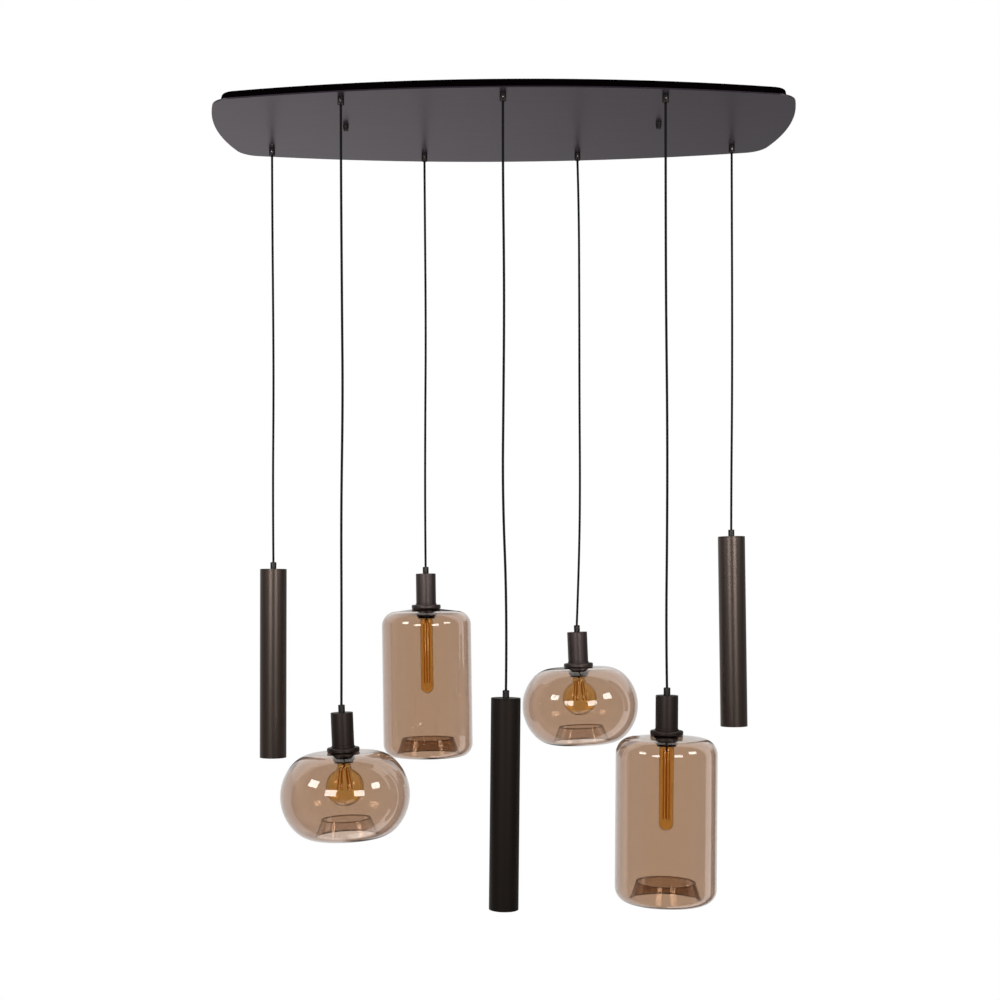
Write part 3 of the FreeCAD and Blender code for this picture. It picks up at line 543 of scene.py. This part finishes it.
# %% [markdown]
# Geometry Nodes make what repeats. One tree sets an item on every point of a mesh, one sets it
# round an axis, and one runs a round section along a curve. Each ends in Realize Instances and
# Set Material, and its result becomes a plain mesh.

# %% Node trees
def new_tree(name, inputs):
    """An empty tree with named inputs; returns the tree and its group input node."""
    tree = bpy.data.node_groups.new(name, "GeometryNodeTree")
    tree.interface.new_socket("Geometry", in_out="INPUT", socket_type="NodeSocketGeometry")
    for label, kind in inputs:
        tree.interface.new_socket(label, in_out="INPUT", socket_type=kind)
    tree.interface.new_socket("Geometry", in_out="OUTPUT", socket_type="NodeSocketGeometry")
    return tree, tree.nodes.new("NodeGroupInput")


def end_tree(tree, given, made):
    """Realize Instances and Set Material close every tree."""
    realize = tree.nodes.new("GeometryNodeRealizeInstances")
    paint = tree.nodes.new("GeometryNodeSetMaterial")
    output = tree.nodes.new("NodeGroupOutput")
    tree.links.new(made, realize.inputs["Geometry"])
    tree.links.new(realize.outputs["Geometry"], paint.inputs["Geometry"])
    tree.links.new(given.outputs["Material"], paint.inputs["Material"])
    tree.links.new(paint.outputs["Geometry"], output.inputs["Geometry"])


def places_tree():
    """An item on every point of a mesh."""
    tree, given = new_tree("set_at_places", [("Item", "NodeSocketObject"),
                                             ("Material", "NodeSocketMaterial")])
    item = tree.nodes.new("GeometryNodeObjectInfo")
    put = tree.nodes.new("GeometryNodeInstanceOnPoints")
    tree.links.new(given.outputs["Item"], item.inputs["Object"])
    tree.links.new(given.outputs["Geometry"], put.inputs["Points"])
    tree.links.new(item.outputs["Geometry"], put.inputs["Instance"])
    end_tree(tree, given, put.outputs["Instances"])
    return tree


def around_tree():
    """The mesh repeated on a circle, each turned to face outwards."""
    tree, given = new_tree("set_round_axis", [("Count", "NodeSocketInt"),
                                              ("Radius", "NodeSocketFloat"),
                                              ("Material", "NodeSocketMaterial")])
    circle = tree.nodes.new("GeometryNodeMeshCircle")
    circle.fill_type = "NONE"
    put = tree.nodes.new("GeometryNodeInstanceOnPoints")
    index = tree.nodes.new("GeometryNodeInputIndex")
    share = tree.nodes.new("ShaderNodeMath")
    share.operation = "DIVIDE"
    full_turn = tree.nodes.new("ShaderNodeMath")
    full_turn.operation = "MULTIPLY"
    full_turn.inputs[1].default_value = 2 * math.pi
    angles = tree.nodes.new("ShaderNodeCombineXYZ")
    tree.links.new(given.outputs["Count"], circle.inputs["Vertices"])
    tree.links.new(given.outputs["Radius"], circle.inputs["Radius"])
    tree.links.new(circle.outputs["Mesh"], put.inputs["Points"])
    tree.links.new(given.outputs["Geometry"], put.inputs["Instance"])
    tree.links.new(index.outputs["Index"], share.inputs[0])
    tree.links.new(given.outputs["Count"], share.inputs[1])
    tree.links.new(share.outputs[0], full_turn.inputs[0])
    tree.links.new(full_turn.outputs[0], angles.inputs["Z"])
    tree.links.new(angles.outputs[0], put.inputs["Rotation"])
    end_tree(tree, given, put.outputs["Instances"])
    return tree


def sweep_tree():
    """A round section along a curve, closed at both ends."""
    tree, given = new_tree("run_along_curve", [("Radius", "NodeSocketFloat"),
                                               ("Sides", "NodeSocketInt"),
                                               ("Material", "NodeSocketMaterial")])
    section = tree.nodes.new("GeometryNodeCurvePrimitiveCircle")
    sweep = tree.nodes.new("GeometryNodeCurveToMesh")
    sweep.inputs["Fill Caps"].default_value = True
    tree.links.new(given.outputs["Radius"], section.inputs["Radius"])
    tree.links.new(given.outputs["Sides"], section.inputs["Resolution"])
    tree.links.new(given.outputs["Geometry"], sweep.inputs["Curve"])
    tree.links.new(section.outputs["Curve"], sweep.inputs["Profile Curve"])
    end_tree(tree, given, sweep.outputs["Mesh"])
    return tree


TREES = {"places": places_tree(), "around": around_tree(), "sweep": sweep_tree()}


def grow(source, tree_name, **sizes):
    """Run a tree on an object and give back the plain mesh; the source object goes."""
    tree = TREES[tree_name]
    modifier = source.modifiers.new("grow", "NODES")
    modifier.node_group = tree
    for socket in tree.interface.items_tree:
        if socket.in_out == "INPUT" and socket.name in sizes:
            modifier[socket.identifier] = sizes[socket.name]
    source.update_tag()
    bpy.context.view_layer.update()
    evaluated = source.evaluated_get(bpy.context.evaluated_depsgraph_get())
    mesh = bpy.data.meshes.new_from_object(evaluated)
    source.modifiers.remove(modifier)
    bpy.data.objects.remove(source)
    return mesh


def points_object(places):
    """A mesh of loose points, in metres."""
    mesh = bpy.data.meshes.new("points")
    mesh.from_pydata([Vector(place) * MM for place in places], [], [])
    points = bpy.data.objects.new("points", mesh)
    scene.collection.objects.link(points)
    return points


def set_at(name, item_mesh, places, slot, body, *nodes, look=None):
    """One piece of identical items at the given places, in millimetres."""
    item_mesh.transform(Matrix.Scale(MM, 4))
    item = bpy.data.objects.new("item", item_mesh)
    scene.collection.objects.link(item)
    mesh = grow(points_object(places), "places", Item=item, Material=LOOKS[look or slot])
    bpy.data.objects.remove(item)
    return settle(new_piece(name, mesh, Matrix.Identity(4)), body, slot, *nodes, look=look)


def box_mesh(name, low, high):
    """A plain block between two corners."""
    shaped = bmesh.new()
    bmesh.ops.create_cube(shaped, size=1)
    size = Vector(high) - Vector(low)
    middle = (Vector(high) + Vector(low)) / 2
    bmesh.ops.scale(shaped, vec=size, verts=shaped.verts)
    bmesh.ops.translate(shaped, vec=middle, verts=shaped.verts)
    mesh = bpy.data.meshes.new(name)
    shaped.to_mesh(mesh)
    shaped.free()
    return mesh


print("trees", list(TREES))

# %% [markdown]
# The canopy. The plate, the box and what is hidden in it are the CAD pieces with their looks.
# Grips, their screws and the cap nuts are repeated.

# %% Canopy
STUD_ACROSS = -20
STRAP_ALONG = 347
NIPPLE_RISE = 8
SCREW_SEGMENTS = 20
SCREW_SINK = 0.05
GRIP_PLACES = [(along, across, -CANOPY_DEPTH) for along, across, _, _, _ in PENDANTS.values()]

for node_name, slot_name in {
        "canopy_plate": "gunmetal_plate", "canopy_box": "black_box",
        "ceiling_straps": "zinc_steel", "terminal_block": "white_plastic",
        "grip_locknuts": "zinc_steel", "canopy_leads": "lead_sheath"}.items():
    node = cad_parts[node_name]
    node.data.materials.clear()
    node.data.materials.append(LOOKS[slot_name])

ceiling_grip = turned_mesh("ceiling_grip", [
    (GRIP_MOUTH_RADIUS, -GRIP_HEIGHT), (GRIP_FACE_RADIUS, -GRIP_HEIGHT, GRIP_ROUND),
    (GRIP_RADIUS, -GRIP_HEIGHT + GRIP_ROUND), (GRIP_RADIUS, -1),
    (GRIP_RADIUS - GRIP_GROOVE, -0.5), (GRIP_RADIUS - GRIP_GROOVE, 0), (NIPPLE_RADIUS, 0),
    (NIPPLE_RADIUS, NIPPLE_RISE), (NIPPLE_BORE, NIPPLE_RISE),
    (NIPPLE_BORE, -GRIP_HEIGHT + CABLE_INTO_GRIP)], SMALL_SEGMENTS)
set_at("The_ceiling_grips", ceiling_grip, GRIP_PLACES, "dark_bronze", "root", "ceiling_grips",
       look="grip_bronze")

grip_screw = turned_mesh("grip_screw", [
    (0, 0), (1.5, 0), (1.5, 0.5), (1.3, 0.65), (0.7, 0.65), (0.7, 0.2), (0, 0.2)],
    SCREW_SEGMENTS)
grip_screw.transform(Matrix.Rotation(math.radians(90), 4, "X"))
set_at("The_grip_screws", grip_screw,
       [(along, across - GRIP_RADIUS + SCREW_SINK, level - GRIP_HEIGHT / 2)
        for along, across, level in GRIP_PLACES], "zinc_steel", "root", "grip_screws")

cap_nut = turned_mesh("cap_nut", [
    (0, -13), (4.1, -13, 1.2), (5.3, -11.8), (5.3, -8), (6.2, -8, 0.3), (6.5, -7.7), (6.5, 0),
    (2.65, 0), (2.65, -6), (0, -6)], SMALL_SEGMENTS)
set_at("The_cap_nuts", cap_nut,
       [(side * STRAP_ALONG, STUD_ACROSS, -CANOPY_DEPTH) for side in (-1, 1)],
       "dark_bronze", "root", "cap_nuts", look="grip_bronze")
print("canopy done")

# %% [markdown]
# The cables. Each hangs along a smooth spline with the same points as its CAD route.

# %% Cables
CABLE_SIDES = 16
STEPS_A_SPAN = 12

for number, (along, across, _, _, route) in PENDANTS.items():
    stops = [Vector((along + sideways, across, GRIP_MOUTH - down)) * MM
             for sideways, down in route]
    stops[0].z += CABLE_INTO_GRIP * MM
    stops[-1].z -= CABLE_INTO_GRIP * MM
    curve = bpy.data.curves.new("route", "CURVE")
    curve.dimensions = "3D"
    spline = curve.splines.new("NURBS")
    spline.points.add(len(stops) - 1)
    for point, stop in zip(spline.points, stops):
        point.co = (*stop, 1)
    spline.order_u = 3
    spline.use_endpoint_u = True
    spline.resolution_u = STEPS_A_SPAN
    line = bpy.data.objects.new("route", curve)
    scene.collection.objects.link(line)
    bpy.context.view_layer.update()
    traced = line.to_mesh()
    path = [vertex.co.copy() for vertex in traced.vertices]
    line.to_mesh_clear()
    if path[0].z < path[-1].z:
        path.reverse()
    mesh = grow(line, "sweep", Radius=CABLE_RADIUS * MM, Sides=CABLE_SIDES,
                Material=LOOKS["black_cable"])
    cable = new_piece("The_cable_%d" % number, mesh, Matrix.Identity(4))
    cable.data.materials.clear()
    cable.data.materials.append(LOOKS["black_cable"])
    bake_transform(cable)
    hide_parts("cable_%d" % number)

# %% [markdown]
# The metal and black pieces of a pendant, in millimetres below the top of its cord grip.

# %% Metal outlines
CAP_RADIUS = 23.5
CAP_TOP_ROUND = 1.5
CAP_WALL = 1
FLANGE_ROUND = 3
FLANGE_NECK_RADIUS = 24.6
HOLDER_RADIUS = 20
HOLDER_BORE = 14
HOLDER_SKIRT_RADIUS = 22.2
HOLDER_SKIRT_TOP = 83
HOLDER_FLOOR = 92
THREAD_HOLE = 20.2
RING_RADIUS = 25.4
RING_RIM = 107
RING_NECK_RADIUS = 23.2
RING_STEP_RADIUS = 22.6
RING_END = 115
RING_TEETH = 40
TOOTH_HALF_DEPTH = 0.6
TOOTH_HALF_WIDTH = 0.9
TOOTH_HEIGHT = 4


def cord_grip_outline(nipple_end):
    """A small grip with the nipple that goes down from it into the pendant."""
    return [(GRIP_MOUTH_RADIUS, 0), (GRIP_FACE_RADIUS, 0, -GRIP_ROUND),
            (GRIP_RADIUS, -GRIP_ROUND), (GRIP_RADIUS, -14.6),
            (GRIP_RADIUS - GRIP_GROOVE, -15.2), (GRIP_RADIUS - GRIP_GROOVE, -GRIP_HEIGHT),
            (NIPPLE_RADIUS, -GRIP_HEIGHT), (NIPPLE_RADIUS, -nipple_end),
            (NIPPLE_BORE, -nipple_end), (NIPPLE_BORE, -CABLE_INTO_GRIP)]


HOLDER_CAP = [
    (NIPPLE_HOLE, -GRIP_HEIGHT), (CAP_RADIUS - CAP_TOP_ROUND, -GRIP_HEIGHT, -CAP_TOP_ROUND),
    (CAP_RADIUS, -GRIP_HEIGHT - CAP_TOP_ROUND), (CAP_RADIUS, -84.6), (23.2, -85),
    (23.2, -CAP_RIM), (CAP_RADIUS - CAP_WALL, -CAP_RIM),
    (CAP_RADIUS - CAP_WALL, -GRIP_HEIGHT - CAP_WALL), (NIPPLE_HOLE, -GRIP_HEIGHT - CAP_WALL)]
SHADE_FLANGE = [
    (THREAD_HOLE, -CAP_RIM), (24.3, -CAP_RIM, -0.6), (FLANGE_NECK_RADIUS, -87),
    (FLANGE_NECK_RADIUS, -FLANGE_TOP), (FLANGE_RADIUS - FLANGE_ROUND, -FLANGE_TOP, -FLANGE_ROUND),
    (FLANGE_RADIUS, -FLANGE_TOP - FLANGE_ROUND),
    (FLANGE_RADIUS, -GLASS_TOP + FLANGE_ROUND, -FLANGE_ROUND),
    (FLANGE_RADIUS - FLANGE_ROUND, -GLASS_TOP), (THREAD_HOLE, -GLASS_TOP)]
LAMPHOLDER = [
    (0, -HOLDER_NIPPLE_END), (NIPPLE_HOLE, -HOLDER_NIPPLE_END), (NIPPLE_HOLE, -HOLDER_START),
    (18, -HOLDER_START), (HOLDER_RADIUS, -58), (HOLDER_RADIUS, -HOLDER_SKIRT_TOP),
    (HOLDER_SKIRT_RADIUS, -HOLDER_SKIRT_TOP), (HOLDER_SKIRT_RADIUS, -CAP_RIM),
    (HOLDER_RADIUS, -CAP_RIM), (HOLDER_RADIUS, -120.4), (19.4, -HOLDER_END),
    (HOLDER_BORE, -HOLDER_END), (HOLDER_BORE, -HOLDER_FLOOR), (0, -HOLDER_FLOOR)]
SHADE_RING = [
    (THREAD_HOLE, -RING_TOP), (RING_RADIUS, -RING_TOP), (RING_RADIUS, -RING_RIM),
    (RING_NECK_RADIUS, -RING_RIM), (RING_NECK_RADIUS, -110.5), (RING_STEP_RADIUS, -111),
    (RING_STEP_RADIUS, -114.4), (22.2, -RING_END), (THREAD_HOLE, -RING_END)]


def round_axis(name, number, item_mesh, count, radius, level, slot, look=None):
    """Items in a circle round a pendant's axis, at a level in its own millimetres."""
    item_mesh.transform(Matrix.Scale(MM, 4))
    item = bpy.data.objects.new("item", item_mesh)
    scene.collection.objects.link(item)
    mesh = grow(item, "around", Count=count, Radius=radius * MM, Material=LOOKS[look or slot])
    lift = pendant_place(number) @ Matrix.Translation((0, 0, level)) @ Matrix.Scale(1 / MM, 4)
    return settle(new_piece(name, mesh, lift), "pendant_%d" % number, slot, look=look)


print("outlines ready")

# %% [markdown]
# The glass shades: blown shells whose foot turns in through a small fold to an open collar. The
# same rules give the outer side and, set in by the wall, the inner one. The collar's rim is
# painted darker (painted shade for the dark line at the glass edge), the collar of an oval is
# painted lighter (painted light on the same glass), and the bottom of a round lamp is clear.

# %% Glass outlines
FOLD_ROUND = 8
RIM_SHARE = 0.08
# a collar: the radius of its fold, its slope in degrees and its height
OVAL_COLLAR = (70, 22, 40)
JAR_COLLAR = (78, 18, 42)
OVAL_RADIUS = 136
OVAL_HALF_HEIGHT = 90
OVAL_SIDE_ROUND = 100
OVAL_ANGLE = math.radians(45)
JAR_RADIUS = 105.5
JAR_HEIGHT = 348
JAR_DOME = 5
JAR_SHOULDER = 34
JAR_FOOT = 30


def fold(foot_across, foot_round, collar_sizes, foot, wall):
    """The lower part of one side: from the foot's round through the fold to the collar's rim."""
    fold_across, slope, collar = collar_sizes
    fold_up = foot + FOLD_ROUND
    reach = foot_round - FOLD_ROUND
    shift = fold_across - foot_across
    sink = math.sqrt(reach ** 2 - shift ** 2)
    inner = FOLD_ROUND - wall
    outer = foot_round - wall
    tilt = math.radians(slope)
    collar_start = Vector((fold_across - inner * math.cos(tilt), fold_up - inner * math.sin(tilt)))
    rim = Vector((fold_across - inner / math.cos(tilt) - (collar - FOLD_ROUND) * math.tan(tilt),
                  foot + collar))
    return [
        (foot_across + outer * shift / reach, fold_up + sink - outer * sink / reach, inner),
        tuple(collar_start), tuple(rim.lerp(collar_start, RIM_SHARE)), tuple(rim)]


def oval_side(wall):
    """One side of an oval shade, from its top to the rim of its collar."""
    rise = math.sin(OVAL_ANGLE)
    foot_round = (OVAL_HALF_HEIGHT - OVAL_SIDE_ROUND * rise) / (1 - rise)
    side_centre = OVAL_RADIUS - OVAL_SIDE_ROUND
    across = side_centre + (OVAL_SIDE_ROUND - foot_round) * math.cos(OVAL_ANGLE)
    middle = -GLASS_TOP - OVAL_HALF_HEIGHT
    foot_level = middle - OVAL_HALF_HEIGHT + foot_round
    side = OVAL_SIDE_ROUND - wall
    side_end = side_centre + side * math.cos(OVAL_ANGLE)
    sink = math.sqrt((foot_round - FOLD_ROUND) ** 2 - (OVAL_COLLAR[0] - across) ** 2)
    foot = foot_level - sink - FOLD_ROUND
    return [(across, -GLASS_TOP - wall, foot_round - wall),
            (side_end, middle + side * rise, side),
            (side_end, middle - side * rise, foot_round - wall),
            ] + fold(across, foot_round, OVAL_COLLAR, foot, wall)


def jar_side(wall):
    """One side of a jar shade, from the flange to the rim of its collar."""
    top = -GLASS_TOP - JAR_DOME
    foot = -GLASS_TOP - JAR_HEIGHT
    across = JAR_RADIUS - JAR_FOOT
    sink = math.sqrt((JAR_FOOT - FOLD_ROUND) ** 2 - (JAR_COLLAR[0] - across) ** 2)
    foot_level = foot + FOLD_ROUND + sink
    return [(FLANGE_RADIUS, -GLASS_TOP - wall),
            (JAR_RADIUS - JAR_SHOULDER, top - wall, JAR_SHOULDER - wall),
            (JAR_RADIUS - wall, top - JAR_SHOULDER),
            (JAR_RADIUS - wall, foot_level, JAR_FOOT - wall),
            ] + fold(across, JAR_FOOT, JAR_COLLAR, foot, wall)


def glass_outline(side):
    """The outer side down, the rim, and the inner side back up."""
    outline = [(GLASS_HOLE, -GLASS_TOP)]
    for entry in side(0):
        outline.append(entry[:2] + tuple(-radius for radius in entry[2:]))
    inner = side(GLASS_WALL)
    for number in reversed(range(len(inner))):
        leading = inner[number - 1][2:] if number else ()
        outline.append(inner[number][:2] + leading)
    outline.append((GLASS_HOLE, -GLASS_TOP - GLASS_WALL))
    return outline


def paint_band(piece, number, look, low, high, reach):
    """Another look for the faces between two levels and within a reach of the axis."""
    piece.data.materials.append(LOOKS[look])
    own = pendant_place(number).inverted()
    for face in piece.data.polygons:
        middle = own @ face.center
        if low < middle.z < high and math.hypot(middle.x, middle.y) < reach:
            face.material_index = len(piece.data.materials) - 1


GLOBE_CENTRE = HOLDER_END + 52
GLOBE_RADIUS = 40
GLOBE_NECK = 16
STICK_END = HOLDER_END + 178
STICK_RADIUS = 15
STICK_NECK_END = LAMP_START + 7.5
LAMP_WALL = 0.8
LAMP_CAP_RADIUS = 13
LAMP_MOUTH = LAMP_CAP_RADIUS - LAMP_WALL
LAMP_CAP_HEIGHT = 25
LAMP_CAP_CONE = 6
LAMP_CONTACT = 4.5
STEM_RADIUS = 3
STEM_END = LAMP_START + 12
STEM_DISC = 1
FILAMENT_RADIUS = 1.2
FILAMENT_SEGMENTS = 12
TIP_REACH = 30
NEAR_RIM = 1


def ball_level(radius, across):
    """How far above its centre a ball has the given radius."""
    return math.sqrt(radius ** 2 - across ** 2)


def globe_outline():
    """A round lamp whose neck has two small rings."""
    inner = GLOBE_RADIUS - LAMP_WALL
    inner_neck = GLOBE_NECK - LAMP_WALL
    return [(LAMP_CAP_RADIUS, -LAMP_START),
            (13.5, -LAMP_START - 4, -1.4), (13.9, -LAMP_START - 6.5),
            (14.6, -LAMP_START - 12, -1.4), (15.2, -LAMP_START - 14.5),
            (GLOBE_NECK, -GLOBE_CENTRE + ball_level(GLOBE_RADIUS, GLOBE_NECK), -GLOBE_RADIUS),
            (0, -GLOBE_CENTRE - GLOBE_RADIUS), (0, -GLOBE_CENTRE - inner, inner),
            (inner_neck, -GLOBE_CENTRE + ball_level(inner, inner_neck)),
            (LAMP_MOUTH, -LAMP_START)]


def stick_outline():
    """A long lamp with a small ring under its cap."""
    inner = STICK_RADIUS - LAMP_WALL
    tip_start = -STICK_END + STICK_RADIUS
    return [(LAMP_CAP_RADIUS, -LAMP_START),
            (13.8, -LAMP_START - 3.2, -1.3), (14.3, -LAMP_START - 5.4),
            (STICK_RADIUS, -STICK_NECK_END), (STICK_RADIUS, tip_start, -STICK_RADIUS),
            (0, -STICK_END), (0, -STICK_END + LAMP_WALL, inner), (inner, tip_start),
            (inner, -STICK_NECK_END), (LAMP_MOUTH, -LAMP_START)]


def lamp_cap_outline(disc_radius):
    """A lamp's metal cap with its stem and the disc that carries the filaments."""
    top = -LAMP_START + LAMP_CAP_HEIGHT
    return [(0, top), (LAMP_CONTACT, top), (LAMP_CAP_RADIUS, top - LAMP_CAP_CONE),
            (LAMP_CAP_RADIUS, -LAMP_START), (STEM_RADIUS, -LAMP_START),
            (STEM_RADIUS, -STEM_END), (disc_radius, -STEM_END),
            (disc_radius, -STEM_END - STEM_DISC), (0, -STEM_END - STEM_DISC)]


# lamp: outline, look, number of filaments, their circle, length and slant in degrees
LAMPS = {"oval": (globe_outline(), "amber_glass", 6, 9, 46, 8),
         "jar": (stick_outline(), "amber_stick", 4, 6, 142, 0)}
print("glass ready")

# %% [markdown]
# Build the four glass pendants.

# %% Glass pendants
for number, (_, across, _, kind, _) in PENDANTS.items():
    if kind == "tube":
        continue
    # The front row takes the darker copy of the bronze, which is painted shade.
    bronze = "shaded_front_bronze" if across < 0 else "dark_bronze"
    bulb, bulb_look, filament_count, circle, filament_length, slant = LAMPS[kind]
    side = oval_side if kind == "oval" else jar_side
    hang("cord_grip", number, cord_grip_outline(HOLDER_NIPPLE_END), "dark_bronze",
         SMALL_SEGMENTS, "grip_bronze")
    hang("holder_cap", number, HOLDER_CAP, "dark_bronze", LARGE_SEGMENTS, bronze)
    hang("shade_flange", number, SHADE_FLANGE, "dark_bronze", LARGE_SEGMENTS, bronze)
    hang("lampholder", number, LAMPHOLDER, "black_plastic", MIDDLE_SEGMENTS)
    hang("shade_ring", number, SHADE_RING, "black_plastic", RING_SEGMENTS)
    tooth = box_mesh("tooth", (-TOOTH_HALF_DEPTH, -TOOTH_HALF_WIDTH, -TOOTH_HEIGHT),
                     (TOOTH_HALF_DEPTH, TOOTH_HALF_WIDTH, 0))
    round_axis("The_ring_teeth_%d" % number, number, tooth, RING_TEETH, RING_RADIUS, -RING_TOP,
               "black_plastic")
    shade = hang("glass_shade", number, glass_outline(side), "smoke_glass", GLASS_SEGMENTS)
    collar_start, below_rim, rim = side(0)[-3:]
    # Painted light: the oval's collar is painted lighter than the rest of its glass.
    if kind == "oval":
        paint_band(shade, number, "collar_painted_lighter", collar_start[1] - FOLD_ROUND,
                   rim[1] + NEAR_RIM, collar_start[0] + NEAR_RIM)
    # Painted shade: a dark band at the collar's rim.
    paint_band(shade, number, "rim_painted_shade", below_rim[1], rim[1] + NEAR_RIM,
               below_rim[0] + NEAR_RIM)
    lamp = hang("bulb", number, bulb, "amber_glass", MIDDLE_SEGMENTS, bulb_look)
    if kind == "oval":
        paint_band(lamp, number, "lamp_tip", -GLOBE_CENTRE - GLOBE_RADIUS,
                   -GLOBE_CENTRE - TIP_REACH, GLOBE_RADIUS)
    hang("lamp_base", number, lamp_cap_outline(circle + FILAMENT_RADIUS), "lamp_brass",
         SMALL_SEGMENTS)
    rod = turned_mesh("rod", [(0, -filament_length), (FILAMENT_RADIUS, -filament_length),
                              (FILAMENT_RADIUS, 0), (0, 0)], FILAMENT_SEGMENTS)
    rod.transform(Matrix.Rotation(math.radians(-slant), 4, "Y"))
    round_axis("The_filaments_%d" % number, number, rod, filament_count, circle,
               -STEM_END - STEM_DISC, "lamp_brass", look="filament")
print("glass pendants done")

# %% [markdown]
# Build the three tube pendants, with the ceramic holder and spot lamp inside each.

# %% Tube pendants
TUBE_RADIUS = 31
TUBE_BORE = 29.5
TUBE_GROOVE_RADIUS = 30.6
TUBE_EDGE = 0.4
TUBE_FLOOR = 17.5
CERAMIC_TOP = 338
CERAMIC_RADIUS = 15
CERAMIC_PLATE_TOP = 348
CERAMIC_PLATE_END = 350
CERAMIC_PLATE_RADIUS = 29.3
SPOT_NECK = 12
SPOT_RADIUS = 25
SPOT_BULGE = 60
SPOT_EDGE = 0.8
SPOT_FACE_SINK = 1

TUBE_SHADE = [
    (NIPPLE_HOLE, -GRIP_HEIGHT), (TUBE_GROOVE_RADIUS, -GRIP_HEIGHT),
    (TUBE_RADIUS, -GRIP_HEIGHT - TUBE_EDGE), (TUBE_RADIUS, -18.2),
    (TUBE_GROOVE_RADIUS, -18.5), (TUBE_GROOVE_RADIUS, -19), (TUBE_RADIUS, -19.3),
    (TUBE_RADIUS, -TUBE_END + TUBE_EDGE), (30.7, -TUBE_END), (TUBE_BORE, -TUBE_END),
    (TUBE_BORE, -TUBE_FLOOR), (NIPPLE_HOLE, -TUBE_FLOOR)]
SPOT_HOLDER = [
    (NIPPLE_HOLE, -CERAMIC_TOP), (CERAMIC_RADIUS, -CERAMIC_TOP),
    (CERAMIC_RADIUS, -CERAMIC_PLATE_TOP), (CERAMIC_PLATE_RADIUS, -CERAMIC_PLATE_TOP),
    (CERAMIC_PLATE_RADIUS, -CERAMIC_PLATE_END), (CERAMIC_RADIUS, -CERAMIC_PLATE_END),
    (CERAMIC_RADIUS, -CERAMIC_END), (0, -CERAMIC_END), (0, -SPOT_NIPPLE_END),
    (NIPPLE_HOLE, -SPOT_NIPPLE_END)]
SPOT_LAMP = [
    (0, -CERAMIC_END), (SPOT_NECK, -CERAMIC_END), (SPOT_NECK, -376),
    (SPOT_RADIUS, -414, SPOT_BULGE), (SPOT_RADIUS, -SPOT_FACE + SPOT_EDGE),
    (SPOT_RADIUS - SPOT_EDGE, -SPOT_FACE), (22.5, -SPOT_FACE),
    (21.5, -SPOT_FACE + SPOT_FACE_SINK), (0, -SPOT_FACE + SPOT_FACE_SINK)]

for number, (_, across, _, kind, _) in PENDANTS.items():
    if kind != "tube":
        continue
    # The front tube takes the darker copy of the tube bronze, which is painted shade.
    bronze = "shaded_front_tube" if across < 0 else "tube_bronze"
    hang("cord_grip", number, cord_grip_outline(SPOT_NIPPLE_END), "dark_bronze",
         SMALL_SEGMENTS, "grip_bronze")
    hang("tube_shade", number, TUBE_SHADE, "tube_bronze", LARGE_SEGMENTS, bronze)
    hang("spot_holder", number, SPOT_HOLDER, "white_ceramic", SMALL_SEGMENTS)
    hang("spot_lamp", number, SPOT_LAMP, "spot_glass", MIDDLE_SEGMENTS)
print("tube pendants done")
